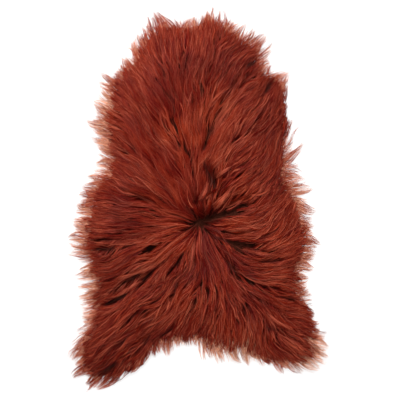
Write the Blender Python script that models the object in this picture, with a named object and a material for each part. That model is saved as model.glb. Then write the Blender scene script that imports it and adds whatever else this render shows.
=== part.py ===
"""Long-haired sheepskin rug: one tanned hide with its fleece on, lying flat with the hair up.

Metres, +Z up, +Y towards the neck. The origin is on the floor under the middle of the rug.
The hide is a thin flat sheet. The fleece is one solid on it: it reaches past the hide's edge all
round, comes down to the floor there, and ends in pointed locks of hair.
"""

import math
import random

import bmesh
import bpy
import numpy as np
from mathutils import Vector
from mathutils.geometry import delaunay_2d_cdt

# Driving sizes
RUG_WIDTH = 0.730  # over the lock tips
RUG_LENGTH = 1.052
PILE_CROWN = 0.058  # top of the combed pile, above the floor
PILE_SHOULDER = 0.150  # the pile reaches its full height this far in from the rim
TIP_HEIGHT = 0.004  # thickness of the rim's locks at their tips
NOTCH_HEIGHT = 0.009  # and in the notches between them
HIDE_THICKNESS = 0.002
SEAT_GAP = 0.0003  # between the hide and the fleece over it
EDGE_GAP = 0.0010  # between the hide's cut edge and the fleece round it

# Rim of the fleece
LOCK_COUNT = 96  # pointed locks round the rim
LOCK_WIDTHS = (0.5, 1.5)  # the narrowest and widest lock, against an even share
LOCK_LEANS = (0.25, 0.75)  # where a lock's tip stands between its two notches
LOCK_TIPS = (0.003, 0.014)  # the shortest and longest tip past the rim's middle line
LOCK_NOTCHES = (0.002, 0.008)  # the notches between them, inside that line
LOCK_SEED = 11

# Fineness
CURVE_STEPS = 12  # points between two landmarks of the rim
HIDE_STEPS = 3
TOP_SPACING = 0.0165  # between points of the fleece's top
CLEARANCE = 0.55  # of that spacing, kept free beside the rim and the partings
BANK = 1.1  # a parting's bank from its middle, in half widths
PLACES = 6  # decimals kept when the top's points are laid out
SAME_POINT = 1e-6  # points nearer than this are one
ALL_OVER = 0  # the kind of triangulation that fills hollows in the outline too

# The rim's middle line, clockwise from the nape: where it runs, and how far the fleece reaches
# past the hide's cut edge there.
RIM_COLUMNS = ("place", "x", "y", "reach")
RIM = (
    ("nape", -0.040, 0.486, 0.050),
    ("nape_right", 0.030, 0.512, 0.060),
    ("neck_right", 0.095, 0.472, 0.050),
    ("cheek_right", 0.165, 0.430, 0.050),
    ("throat_right", 0.187, 0.372, 0.045),
    ("foreleg_right", 0.235, 0.330, 0.060),
    ("brisket_right", 0.236, 0.265, 0.050),
    ("ribs_right", 0.240, 0.140, 0.045),
    ("belly_fore_right", 0.265, 0.040, 0.050),
    ("belly_right", 0.282, -0.065, 0.050),
    ("belly_rear_right", 0.300, -0.135, 0.055),
    ("flank_right", 0.281, -0.220, 0.045),
    ("thigh_right", 0.314, -0.325, 0.055),
    ("hind_leg_right", 0.349, -0.408, 0.055),
    ("hind_tip_right", 0.316, -0.466, 0.050),
    ("hock_right", 0.232, -0.466, 0.055),
    ("rump_right", 0.135, -0.438, 0.055),
    ("tail_right", 0.052, -0.440, 0.065),
    ("tail", -0.025, -0.396, 0.045),
    ("tail_left", -0.100, -0.418, 0.050),
    ("rump_left", -0.172, -0.470, 0.055),
    ("hock_left", -0.258, -0.505, 0.055),
    ("hind_leg_left", -0.326, -0.483, 0.060),
    ("shank_left", -0.350, -0.410, 0.060),
    ("thigh_left", -0.316, -0.330, 0.045),
    ("flank_left", -0.320, -0.215, 0.050),
    ("belly_left", -0.341, -0.110, 0.060),
    ("belly_fore_left", -0.323, -0.017, 0.055),
    ("waist_left", -0.268, 0.110, 0.045),
    ("ribs_left", -0.288, 0.185, 0.060),
    ("brisket_left", -0.272, 0.270, 0.055),
    ("foreleg_left", -0.250, 0.335, 0.060),
    ("throat_left", -0.198, 0.390, 0.050),
    ("cheek_left", -0.158, 0.455, 0.050),
    ("neck_left", -0.108, 0.500, 0.050),
)

# Hollows and partings combed into the pile, each along a line from its start to its end.
PARTING_COLUMNS = ("place", "x0", "y0", "x1", "y1", "half_width", "depth")
PARTINGS = (
    ("whorl", -0.016, -0.058, -0.008, -0.054, 0.017, 0.036),
    ("parting_from_whorl", 0.000, -0.052, 0.115, 0.010, 0.011, 0.024),
    ("upper_hollow", 0.030, 0.072, 0.042, 0.028, 0.015, 0.024),
    ("right_of_whorl", 0.025, -0.062, 0.155, -0.130, 0.012, 0.014),
    ("left_of_whorl", -0.050, -0.048, -0.205, 0.022, 0.012, 0.012),
    ("belly_parting_left", -0.120, -0.085, -0.300, -0.140, 0.012, 0.012),
    ("flank_parting_left", -0.105, -0.175, -0.285, -0.290, 0.013, 0.017),
    ("rump_parting_left", -0.080, -0.215, -0.150, -0.370, 0.012, 0.010),
    ("rump_parting_right", 0.105, -0.225, 0.215, -0.370, 0.012, 0.010),
    ("flank_parting_right", 0.165, -0.165, 0.270, -0.205, 0.012, 0.012),
    ("shoulder_parting_right", 0.060, 0.230, 0.135, 0.345, 0.013, 0.014),
    ("foreleg_pocket_right", 0.165, 0.290, 0.190, 0.335, 0.014, 0.020),
    ("shoulder_parting_left", -0.105, 0.130, -0.175, 0.250, 0.014, 0.010),
    ("neck_parting", -0.035, 0.290, -0.055, 0.380, 0.014, 0.010),
)

# Soft unevenness of the pile: waves across it, as ripples per metre along x and y.
WAVE_COLUMNS = ("per_metre_x", "per_metre_y", "turn", "height")
WAVES = (
    (2.1, 3.4, 0.6, 0.0016),
    (-4.6, 2.3, 2.2, 0.0014),
    (6.3, 5.1, 4.1, 0.0012),
)

WOOL_COLOUR = (0.180, 0.020, 0.010, 1.0)
WOOL_ROUGHNESS = 0.62
SUEDE_COLOUR = (0.330, 0.110, 0.062, 1.0)
SUEDE_ROUGHNESS = 0.88


def rows(columns, table):
    """The table's rows as dicts, by their columns' names."""
    return [dict(zip(columns, row)) for row in table]


def closed_curve(knots, steps):
    """Points of a smooth closed curve through the knots, a Catmull-Rom spline."""
    count = len(knots)
    points = []
    for i in range(count):
        before, start, end, after = (knots[(i + k) % count] for k in (-1, 0, 1, 2))
        for step in range(steps):
            t = step / steps
            points.append(
                0.5
                * (
                    2 * start
                    + (end - before) * t
                    + (2 * before - 5 * start + 4 * end - after) * t * t
                    + (3 * start - before - 3 * end + after) * t**3
                )
            )
    return points


def outward(points, i):
    """The direction out of a clockwise closed line at its point i."""
    along = points[(i + 1) % len(points)] - points[i - 1]
    return Vector((-along.y, along.x)).normalized()


def evenly_spaced(line, shares):
    """Points of a closed line at these shares of its length, and the way out of it at each."""
    ends = line[1:] + line[:1]
    lengths = np.cumsum([0.0] + [(b - a).length for a, b in zip(line, ends)])
    found = []
    for share in shares:
        at = share % 1.0 * lengths[-1]
        i = min(int(np.searchsorted(lengths, at, side="right")) - 1, len(line) - 1)
        t = (at - lengths[i]) / (lengths[i + 1] - lengths[i])
        found.append((line[i].lerp(ends[i], t), outward(line, i)))
    return found


def lock_shares(count):
    """Shares of the rim's length for each notch and tip in turn, uneven as locks of hair are."""
    chance = random.Random(LOCK_SEED)
    widths = [chance.uniform(*LOCK_WIDTHS) for _ in range(count)]
    total = sum(widths)
    shares, at = [], 0.0
    for width in widths:
        tip = at + width * chance.uniform(*LOCK_LEANS)
        shares += [at / total, tip / total]
        at += width
    return shares


def rim_points():
    """The fleece's rim, a notch and a tip in turn, not yet fitted to the rug's sizes."""
    landmarks = [Vector((row["x"], row["y"])) for row in rows(RIM_COLUMNS, RIM)]
    middle = closed_curve(landmarks, CURVE_STEPS)
    chance = random.Random(LOCK_SEED + 1)
    points = []
    for k, (point, out) in enumerate(evenly_spaced(middle, lock_shares(LOCK_COUNT))):
        past = chance.uniform(*LOCK_TIPS) if k % 2 else -chance.uniform(*LOCK_NOTCHES)
        points.append(point + out * past)
    return points


def hide_points():
    """The hide's cut edge: the rim's landmarks drawn in by each one's reach."""
    landmarks = [Vector((row["x"], row["y"])) for row in rows(RIM_COLUMNS, RIM)]
    reaches = [row["reach"] for row in rows(RIM_COLUMNS, RIM)]
    drawn_in = [p - outward(landmarks, i) * reaches[i] for i, p in enumerate(landmarks)]
    return closed_curve(drawn_in, HIDE_STEPS)


def fit_to_sizes(rim, others):
    """Scales and centres the rim to the rug's width and length, and the other lines with it."""
    low = Vector((min(p.x for p in rim), min(p.y for p in rim)))
    high = Vector((max(p.x for p in rim), max(p.y for p in rim)))
    centre = (low + high) / 2
    scale = Vector((RUG_WIDTH / (high.x - low.x), RUG_LENGTH / (high.y - low.y)))
    return [[(p - centre) * scale for p in line] for line in [rim, *others]]


def shifted_out(line, distance):
    """A closed line moved outwards by this distance."""
    return [p + outward(line, i) * distance for i, p in enumerate(line)]


def distance_to_line(points, line):
    """How far each of the points is from the closed line."""
    start = np.array([p[:] for p in line])
    along = np.roll(start, -1, axis=0) - start
    nearest = np.full(len(points), np.inf)
    for a, d in zip(start, along):
        nearest = np.minimum(nearest, distance_to_segment(points, a, d))
    return nearest


def distance_to_segment(points, start, along):
    share = np.clip((points - start) @ along / (along @ along), 0, 1)
    return np.linalg.norm(points - start - share[:, None] * along, axis=1)


def inside(points, line):
    """Which of the points lie inside the closed line."""
    crossings = np.zeros(len(points), int)
    for a, b in zip(line, line[1:] + line[:1]):
        straddles = (a.y > points[:, 1]) != (b.y > points[:, 1])
        if a.y != b.y:
            at = a.x + (points[:, 1] - a.y) / (b.y - a.y) * (b.x - a.x)
            crossings += straddles & (points[:, 0] < at)
    return crossings % 2 == 1


def pile_heights(points, rim):
    """Height of the fleece's top over each of the points."""
    share = np.clip(distance_to_line(points, rim) / PILE_SHOULDER, 0, 1)
    swell = 1 - (1 - share) ** 2
    height = NOTCH_HEIGHT + (PILE_CROWN - NOTCH_HEIGHT) * swell
    for row in rows(WAVE_COLUMNS, WAVES):
        ripple = points @ np.array((row["per_metre_x"], row["per_metre_y"]))
        height += row["height"] * swell * np.sin(math.tau * ripple + row["turn"])
    for row in rows(PARTING_COLUMNS, PARTINGS):
        start = np.array((row["x0"], row["y0"]))
        along = np.array((row["x1"], row["y1"])) - start
        far = distance_to_segment(points, start, along) / row["half_width"]
        height -= row["depth"] * swell * np.exp(-(far**2))
    return np.clip(height, NOTCH_HEIGHT, PILE_CROWN)


def parting_points(row):
    """Points along a parting: a row down its middle and one on each of its banks."""
    start = np.array((row["x0"], row["y0"]))
    along = np.array((row["x1"], row["y1"])) - start
    length = np.linalg.norm(along)
    aside = np.array((-along[1], along[0])) / length * BANK * row["half_width"]
    steps = max(1, round(length / TOP_SPACING))
    shares = np.linspace(0, 1, steps + 1)[:, None]
    return np.concatenate([start + along * shares + aside * side for side in (-1, 0, 1)])


def top_points(rim):
    """Points inside the rim: even triangles, and closer rows along the partings."""
    step_y = TOP_SPACING * math.sqrt(3) / 2
    half_rows = math.ceil(RUG_LENGTH / 2 / step_y)
    half_columns = math.ceil(RUG_WIDTH / 2 / TOP_SPACING)
    lattice = np.array(
        [
            ((i + 0.5 * (j % 2)) * TOP_SPACING, j * step_y)
            for j in range(-half_rows, half_rows + 1)
            for i in range(-half_columns, half_columns + 1)
        ]
    )
    partings = rows(PARTING_COLUMNS, PARTINGS)
    for row in partings:
        start = np.array((row["x0"], row["y0"]))
        along = np.array((row["x1"], row["y1"])) - start
        clear = BANK * row["half_width"] + CLEARANCE * TOP_SPACING
        lattice = lattice[distance_to_segment(lattice, start, along) > clear]
    combed = np.concatenate([lattice, *map(parting_points, partings)])
    combed = combed[inside(combed, rim)]
    return combed[distance_to_line(combed, rim) > CLEARANCE * TOP_SPACING]


def loop_of(bm, line, height):
    """A closed loop of vertices and edges along the line, at this height."""
    verts = [bm.verts.new((p.x, p.y, height)) for p in line]
    return verts, [bm.edges.new((a, b)) for a, b in zip(verts, verts[1:] + verts[:1])]


def wall_between(bm, lower, upper):
    """Side faces between two loops of as many vertices."""
    for k, low in enumerate(lower):
        bm.faces.new((lower[k - 1], low, upper[k], upper[k - 1]))


def finished(name, bm, material):
    """An object of this mesh, closed, with its faces pointing out."""
    bmesh.ops.recalc_face_normals(bm, faces=bm.faces[:])
    bmesh.ops.triangulate(bm, faces=bm.faces[:])
    mesh = bpy.data.meshes.new(name)
    bm.to_mesh(mesh)
    bm.free()
    mesh.materials.append(material)
    made = bpy.data.objects.new(name, mesh)
    bpy.context.scene.collection.objects.link(made)
    return made


def material(name, colour, roughness):
    made = bpy.data.materials.new(name)
    made.use_nodes = True
    surface = made.node_tree.nodes["Principled BSDF"]
    surface.inputs["Base Color"].default_value = colour
    surface.inputs["Roughness"].default_value = roughness
    return made


def make_hide(edge, suede):
    """The tanned hide: a flat sheet inside its cut edge."""
    bm = bmesh.new()
    lower, lower_edges = loop_of(bm, edge, 0.0)
    upper, upper_edges = loop_of(bm, edge, HIDE_THICKNESS)
    bmesh.ops.triangle_fill(bm, edges=lower_edges, use_beauty=True)
    bmesh.ops.triangle_fill(bm, edges=upper_edges, use_beauty=True)
    wall_between(bm, lower, upper)
    return finished("hide", bm, suede)


def make_fleece(rim, hide_edge, wool):
    """The pile as one solid, with a shallow seat for the hide under it."""
    bm = bmesh.new()
    lower, lower_edges = loop_of(bm, rim, 0.0)
    seat = shifted_out(hide_edge, EDGE_GAP)
    seat_low, seat_low_edges = loop_of(bm, seat, 0.0)
    seat_high, seat_high_edges = loop_of(bm, seat, HIDE_THICKNESS + SEAT_GAP)
    bmesh.ops.triangle_fill(bm, edges=lower_edges + seat_low_edges, use_beauty=True)
    bmesh.ops.triangle_fill(bm, edges=seat_high_edges, use_beauty=True)
    wall_between(bm, seat_low, seat_high)

    field = [Vector(p) for p in np.round(top_points(rim), PLACES)]
    count = len(rim)
    rim_edges = [(k, (k + 1) % count) for k in range(count)]
    laid = delaunay_2d_cdt([*rim, *field], rim_edges, [], ALL_OVER, SAME_POINT, False)
    flat, triangles = laid[0], laid[2]
    centres = np.array([sum((flat[i] for i in t), Vector((0, 0)))[:] for t in triangles]) / 3
    kept = inside(centres, rim)
    heights = pile_heights(np.array([p[:] for p in flat]), rim)
    heights[:count] = [TIP_HEIGHT if k % 2 else NOTCH_HEIGHT for k in range(count)]
    top = [bm.verts.new((p.x, p.y, h)) for p, h in zip(flat, heights)]
    for triangle, within in zip(triangles, kept):
        if within:
            bm.faces.new([top[i] for i in triangle])
    wall_between(bm, lower, top[:count])
    return finished("fleece", bm, wool)


def main():
    for obj in list(bpy.data.objects):
        bpy.data.objects.remove(obj)
    rim, hide_edge = fit_to_sizes(rim_points(), [hide_points()])
    make_hide(hide_edge, material("suede", SUEDE_COLOUR, SUEDE_ROUGHNESS))
    fleece = make_fleece(rim, hide_edge, material("wool", WOOL_COLOUR, WOOL_ROUGHNESS))
    fleece.data.shade_smooth()
    fleece.data.set_sharp_from_angle(angle=math.radians(60))


main()
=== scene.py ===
"""Looks of the long-haired sheepskin rug: suede hide, woolly undercoat, combed locks and fringe.

Laid out as a Blender add-on and run as a script. Metres, +Z up, +Y towards the neck.
"""

import functools
import math
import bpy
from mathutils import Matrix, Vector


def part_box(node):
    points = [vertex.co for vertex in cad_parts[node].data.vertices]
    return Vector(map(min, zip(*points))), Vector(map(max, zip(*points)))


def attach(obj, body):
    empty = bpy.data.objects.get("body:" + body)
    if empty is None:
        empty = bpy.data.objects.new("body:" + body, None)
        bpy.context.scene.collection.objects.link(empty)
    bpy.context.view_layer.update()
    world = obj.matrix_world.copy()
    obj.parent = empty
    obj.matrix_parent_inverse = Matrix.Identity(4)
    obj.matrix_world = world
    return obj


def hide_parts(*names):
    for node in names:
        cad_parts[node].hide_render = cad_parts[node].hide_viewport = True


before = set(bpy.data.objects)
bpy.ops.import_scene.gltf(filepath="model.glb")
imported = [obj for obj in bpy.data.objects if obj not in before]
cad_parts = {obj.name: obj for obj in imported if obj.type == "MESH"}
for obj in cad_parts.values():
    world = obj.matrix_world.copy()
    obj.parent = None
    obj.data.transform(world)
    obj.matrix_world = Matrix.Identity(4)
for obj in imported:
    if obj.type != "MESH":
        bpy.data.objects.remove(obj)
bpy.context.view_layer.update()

from types import SimpleNamespace

import bpy
import numpy as np
from bpy.props import FloatProperty, FloatVectorProperty, PointerProperty
from mathutils import Vector
from mathutils.bvhtree import BVHTree

bl_info = {
    "name": "Long-haired sheepskin rug",
    "version": (1, 0, 0),
    "blender": (4, 5, 0),
    "location": "3D View > Sidebar > Sheepskin",
    "description": "Grows and combs the fleece of a sheepskin rug on its hide",
    "category": "Object",
}

BODY = "root"
TAU = math.tau

# Where the hair parts and lies away on every side
WHORL = (-0.008, -0.060)

# The way the hair is combed, as a heading in degrees from +X towards +Y. Between these places it
# turns smoothly, as it does round the whorl.
COMB_COLUMNS = ("place", "x", "y", "heading")
COMB = (
    ("nape_left", -0.12, 0.45, 105),
    ("nape", -0.05, 0.46, 90),
    ("nape_right", 0.02, 0.46, 78),
    ("neck_right", 0.08, 0.45, 62),
    ("cheek_right", 0.15, 0.42, 42),
    ("cheek_left", -0.19, 0.38, 132),
    ("neck_left", -0.12, 0.37, 117),
    ("neck", -0.05, 0.36, 98),
    ("neck_inner_right", 0.02, 0.35, 68),
    ("withers_right", 0.09, 0.35, 47),
    ("throat_right", 0.16, 0.35, 42),
    ("shoulder_edge_left", -0.25, 0.26, 140),
    ("shoulder_left", -0.18, 0.25, 130),
    ("withers_left", -0.11, 0.25, 125),
    ("withers", -0.05, 0.25, 98),
    ("withers_inner_right", 0.02, 0.25, 66),
    ("shoulder_right", 0.12, 0.25, 47),
    ("shoulder_edge_right", 0.22, 0.28, 66),
    ("ribs_edge_left", -0.27, 0.16, 142),
    ("ribs_left", -0.18, 0.15, 136),
    ("back_left", -0.11, 0.14, 130),
    ("back", -0.05, 0.14, 106),
    ("back_middle", -0.02, 0.19, 94),
    ("back_right", 0.03, 0.14, 66),
    ("ribs_right", 0.12, 0.14, 44),
    ("ribs_edge_right", 0.22, 0.15, 68),
    ("waist_edge_left", -0.27, 0.05, 168),
    ("waist_left", -0.18, 0.05, 152),
    ("loin_left", -0.11, 0.05, 138),
    ("loin", -0.04, 0.05, 118),
    ("loin_right", 0.08, 0.05, 44),
    ("waist_right", 0.15, 0.05, 37),
    ("waist_edge_right", 0.22, 0.06, 68),
    ("belly_edge_left", -0.28, -0.03, 166),
    ("belly_left", -0.18, -0.03, 158),
    ("flank_left", -0.10, -0.03, 170),
    ("flank_right", 0.12, 0.00, 36),
    ("belly_right", 0.18, -0.02, 44),
    ("belly_edge_right", 0.27, -0.04, 62),
    ("low_belly_edge_left", -0.30, -0.10, 188),
    ("low_belly_left", -0.17, -0.10, 203),
    ("low_flank_right", 0.08, -0.11, 345),
    ("low_belly_right", 0.15, -0.10, 382),
    ("low_belly_edge_right", 0.24, -0.10, 402),
    ("hip_edge_left", -0.28, -0.18, 193),
    ("hip_left", -0.19, -0.18, 217),
    ("rump_left", -0.11, -0.18, 228),
    ("rump", -0.04, -0.18, 245),
    ("rump_inner_right", 0.03, -0.18, 285),
    ("rump_right", 0.09, -0.18, 325),
    ("hip_right", 0.16, -0.18, 352),
    ("hip_edge_right", 0.24, -0.18, 374),
    ("thigh_edge_left", -0.28, -0.29, 209),
    ("thigh_left", -0.17, -0.29, 221),
    ("tail_head_left", -0.06, -0.29, 236),
    ("tail_head", 0.03, -0.29, 258),
    ("tail_head_right", 0.09, -0.28, 285),
    ("thigh_right", 0.16, -0.28, 322),
    ("thigh_edge_right", 0.27, -0.29, 346),
    ("leg_left", -0.27, -0.43, 221),
    ("leg_inner_left", -0.15, -0.38, 231),
    ("tail", -0.03, -0.37, 243),
    ("tail_right", 0.06, -0.39, 255),
    ("leg_inner_right", 0.14, -0.37, 250),
    ("shank_inner_right", 0.19, -0.42, 297),
    ("foot_inner_right", 0.25, -0.44, 316),
    ("leg_right", 0.22, -0.38, 318),
    ("leg_edge_right", 0.32, -0.40, 336),
    ("crown_left", -0.043, -0.076, 192),
    ("crown_upper_left", -0.043, -0.036, 146),
    ("crown_fan_left", -0.015, -0.030, 106),
    ("crown_fan", 0.010, -0.026, 88),
    ("crown_lock", 0.040, -0.014, 52),
    ("crown_over", 0.094, 0.002, 34),
    ("crown_under", 0.030, -0.066, 4),
    ("crown_under_right", 0.108, -0.042, 26),
    ("crown_below", -0.004, -0.095, 266),
    ("swirl_left", -0.006, 0.034, 84),
    ("swirl_low_right", 0.066, 0.030, 50),
    ("swirl_right", 0.062, 0.080, 38),
    ("swirl_top", 0.013, 0.115, 72),
)
COMB_REACH = (0.008, 0.042)  # how far a place's heading holds: at the whorl, and well away from it
COMB_REACH_SHARE = 0.35  # of the way to the whorl, between the two
COMB_SWAY = 9.0  # degrees of slow, uneven turning on top of it
COMB_SWAY_FROM = (0.02, 0.09)  # from the whorl, over which that turning sets in

# Round the rim: how far inside it the long locks end, how far past it the thin fringe reaches, which
# way the fringe points, how much it curls, and how much paler it is than elsewhere, partly the wool's
# own and partly painted light where the rim faces away from the lamp
FRINGE_COLUMNS = ("place", "x", "y", "bare", "reach", "heading", "curl", "pale")
FRINGE = (
    ("nape_left", -0.10, 0.49, 0.022, 0.020, 108, 10, -0.10),
    ("nape", -0.02, 0.50, 0.018, 0.013, 92, 10, -0.08),
    ("neck_right", 0.09, 0.46, 0.020, 0.014, 60, 10, -0.04),
    ("cheek_right", 0.150, 0.448, 0.024, 0.026, 44, 12, -0.06),
    ("jaw_right", 0.178, 0.412, 0.034, 0.026, 38, 12, 0.00),
    ("throat_right", 0.200, 0.378, 0.030, -0.018, 34, 12, -0.06),
    ("foreleg_right", 0.245, 0.342, 0.026, 0.033, 40, 10, 0.08),
    ("shoulder_high_right", 0.243, 0.290, 0.002, -0.010, 80, 4, -0.15),
    ("shoulder_right", 0.24, 0.23, 0.002, -0.011, 80, 4, -0.15),
    ("ribs_right", 0.235, 0.180, 0.008, -0.014, 80, 6, -0.12),
    ("waist_right", 0.24, 0.130, 0.026, 0.030, 22, 34, -0.05),
    ("waist_low_right", 0.25, 0.07, 0.044, 0.030, 4, 45, 0.04),
    ("belly_right", 0.275, -0.02, 0.012, 0.022, -6, 50, -0.02),
    ("flank_right", 0.29, -0.08, 0.000, 0.010, -10, 45, -0.10),
    ("flank_low_right", 0.30, -0.14, 0.024, 0.022, -2, 45, 0.00),
    ("hip_right", 0.30, -0.20, 0.026, 0.020, 6, 40, 0.02),
    ("hip_low_right", 0.285, -0.246, 0.032, 0.008, 14, 30, 0.02),
    ("thigh_right", 0.305, -0.295, 0.006, -0.005, -12, 14, -0.22),
    ("shank_right", 0.33, -0.35, 0.010, -0.002, -14, 16, -0.12),
    ("leg_right", 0.325, -0.404, 0.064, 0.008, -12, 24, 0.32),
    ("foot_right", 0.335, -0.445, 0.076, 0.028, -30, 24, 0.32),
    ("sole_right", 0.285, -0.462, 0.042, 0.016, -44, 16, 0.16),
    ("hock_right", 0.20, -0.46, 0.014, 0.000, -54, 16, 0.00),
    ("tail_right", 0.140, -0.445, 0.014, -0.012, -70, 14, -0.04),
    ("tail_fringe", 0.076, -0.420, 0.060, 0.017, -72, 16, 0.23),
    ("tail", 0.01, -0.41, 0.030, 0.010, -86, 14, 0.12),
    ("tail_left", -0.06, -0.39, 0.022, 0.002, -94, 16, 0.10),
    ("hock_left", -0.118, -0.425, 0.042, 0.004, -74, 60, -0.04),
    ("heel_left", -0.160, -0.445, 0.012, -0.020, -110, 8, -0.20),
    ("ankle_left", -0.19, -0.47, 0.008, -0.023, -140, 8, -0.20),
    ("foot_left", -0.28, -0.50, 0.017, 0.012, -132, 12, -0.08),
    ("leg_left", -0.33, -0.44, 0.024, 0.010, -146, 14, -0.01),
    ("shank_left", -0.33, -0.39, 0.026, 0.020, -150, 16, -0.04),
    ("thigh_left", -0.33, -0.32, 0.028, 0.016, -166, 16, 0.02),
    ("hip_left", -0.33, -0.22, 0.032, 0.021, -172, 16, 0.04),
    ("belly_left", -0.34, -0.10, 0.030, 0.021, 178, 16, 0.00),
    ("flank_left", -0.33, -0.02, 0.028, 0.020, 176, 14, 0.05),
    ("waist_left", -0.30, 0.03, 0.012, 0.020, 172, 14, -0.09),
    ("ribs_left", -0.27, 0.11, 0.028, 0.022, 160, 18, 0.04),
    ("side_left", -0.28, 0.17, 0.028, 0.020, 164, 18, 0.04),
    ("shoulder_left", -0.28, 0.24, 0.038, 0.034, 152, 14, 0.03),
    ("foreleg_left", -0.25, 0.32, 0.026, 0.020, 140, 12, 0.03),
    ("cheek_left", -0.235, 0.37, 0.014, 0.003, 132, 10, -0.03),
    ("neck_left", -0.18, 0.42, 0.020, 0.021, 122, 10, -0.07),
)
FRINGE_REACH = 0.030  # how far a place's fringe holds

# Partings, where the locks lie apart and show the dark wool between them; strands that cross them are
# darkened as painted shade. They run from one place to the other, with this half width, and are this
# dark.
PARTING_COLUMNS = ("place", "x", "y", "to_x", "to_y", "half_width", "dark")
PARTINGS = (
    ("crown", -0.026, -0.068, 0.022, -0.052, 0.0066, 0.8),
    ("crown_right", 0.006, -0.056, 0.080, -0.029, 0.0112, 1.0),
    ("crown_far_right", 0.064, -0.034, 0.132, 0.002, 0.0070, 0.9),
    ("crown_between", 0.056, -0.018, 0.086, 0.020, 0.0030, 0.6),
    ("swirl_top", 0.008, 0.104, 0.026, 0.070, 0.0080, 0.9),
    ("swirl", 0.026, 0.076, 0.038, 0.036, 0.0100, 1.0),
    ("swirl_low", 0.038, 0.044, 0.026, 0.018, 0.0050, 0.7),
    ("swirl_left", -0.013, 0.012, -0.017, -0.008, 0.0060, 0.9),
    ("below_crown", 0.032, -0.098, 0.160, -0.140, 0.0045, 0.9),
    ("beside_crown", 0.016, -0.082, 0.052, -0.084, 0.0030, 0.7),
    ("crown_left", -0.058, -0.082, -0.018, -0.074, 0.0035, 0.7),
    ("flank_left", -0.132, -0.050, -0.096, -0.040, 0.0035, 0.7),
    ("waist_left", -0.192, 0.022, -0.128, -0.006, 0.0035, 0.7),
    ("belly_left_high", -0.295, -0.109, -0.239, -0.106, 0.0030, 0.8),
    ("belly_left", -0.294, -0.134, -0.238, -0.132, 0.0050, 1.0),
    ("belly_inner_left", -0.214, -0.128, -0.186, -0.120, 0.0030, 0.7),
    ("thigh_left", -0.270, -0.291, -0.202, -0.256, 0.0050, 1.0),
    ("thigh_high_left", -0.256, -0.251, -0.234, -0.242, 0.0034, 0.7),
    ("hip_left", -0.218, -0.229, -0.170, -0.200, 0.0048, 1.0),
    ("rump_left", -0.168, -0.226, -0.118, -0.180, 0.0050, 0.8),
    ("rump", -0.068, -0.178, -0.048, -0.138, 0.0042, 0.9),
    ("rump_low", -0.074, -0.258, -0.064, -0.198, 0.0034, 0.8),
    ("tail_head", -0.050, -0.218, -0.047, -0.190, 0.0028, 0.6),
    ("thigh_inner_left", -0.140, -0.285, -0.116, -0.272, 0.0034, 0.9),
    ("shank_left", -0.205, -0.330, -0.170, -0.300, 0.0034, 0.7),
    ("rump_right", 0.066, -0.156, 0.098, -0.206, 0.0060, 0.7),
    ("tail_left", -0.116, -0.376, -0.076, -0.350, 0.0040, 0.8),
    ("ankle_left", -0.160, -0.402, -0.142, -0.372, 0.0034, 0.8),
    ("leg_inner_left", -0.228, -0.402, -0.196, -0.368, 0.0034, 0.7),
    ("leg_left", -0.276, -0.486, -0.236, -0.448, 0.0090, 0.7),
    ("belly_right", 0.166, -0.104, 0.192, -0.088, 0.0035, 0.7),
    ("hip_right", 0.150, -0.170, 0.230, -0.164, 0.0040, 0.7),
    ("thigh_right", 0.200, -0.262, 0.270, -0.276, 0.0040, 0.6),
    ("leg_right", 0.176, -0.350, 0.206, -0.356, 0.0050, 0.8),
    ("shoulder_right", 0.176, 0.298, 0.194, 0.330, 0.0065, 0.9),
    ("throat_right", 0.124, 0.374, 0.148, 0.384, 0.0055, 0.8),
    ("back_right", 0.076, 0.310, 0.092, 0.322, 0.0040, 0.8),
    ("ribs_right", 0.130, 0.300, 0.148, 0.318, 0.0035, 0.6),
    ("back_low_right", 0.002, 0.136, 0.016, 0.162, 0.0040, 0.8),
)
PARTING_ENDS = 0.45  # half width at the ends, as a share of the middle's
PARTING_DEPTH = 0.015  # by which the coat dips there
PARTING_PUSH = 0.0040  # how hard the locks bend away from it
PARTING_BEND = 0.45  # and the most that they bend, as a slope
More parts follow.
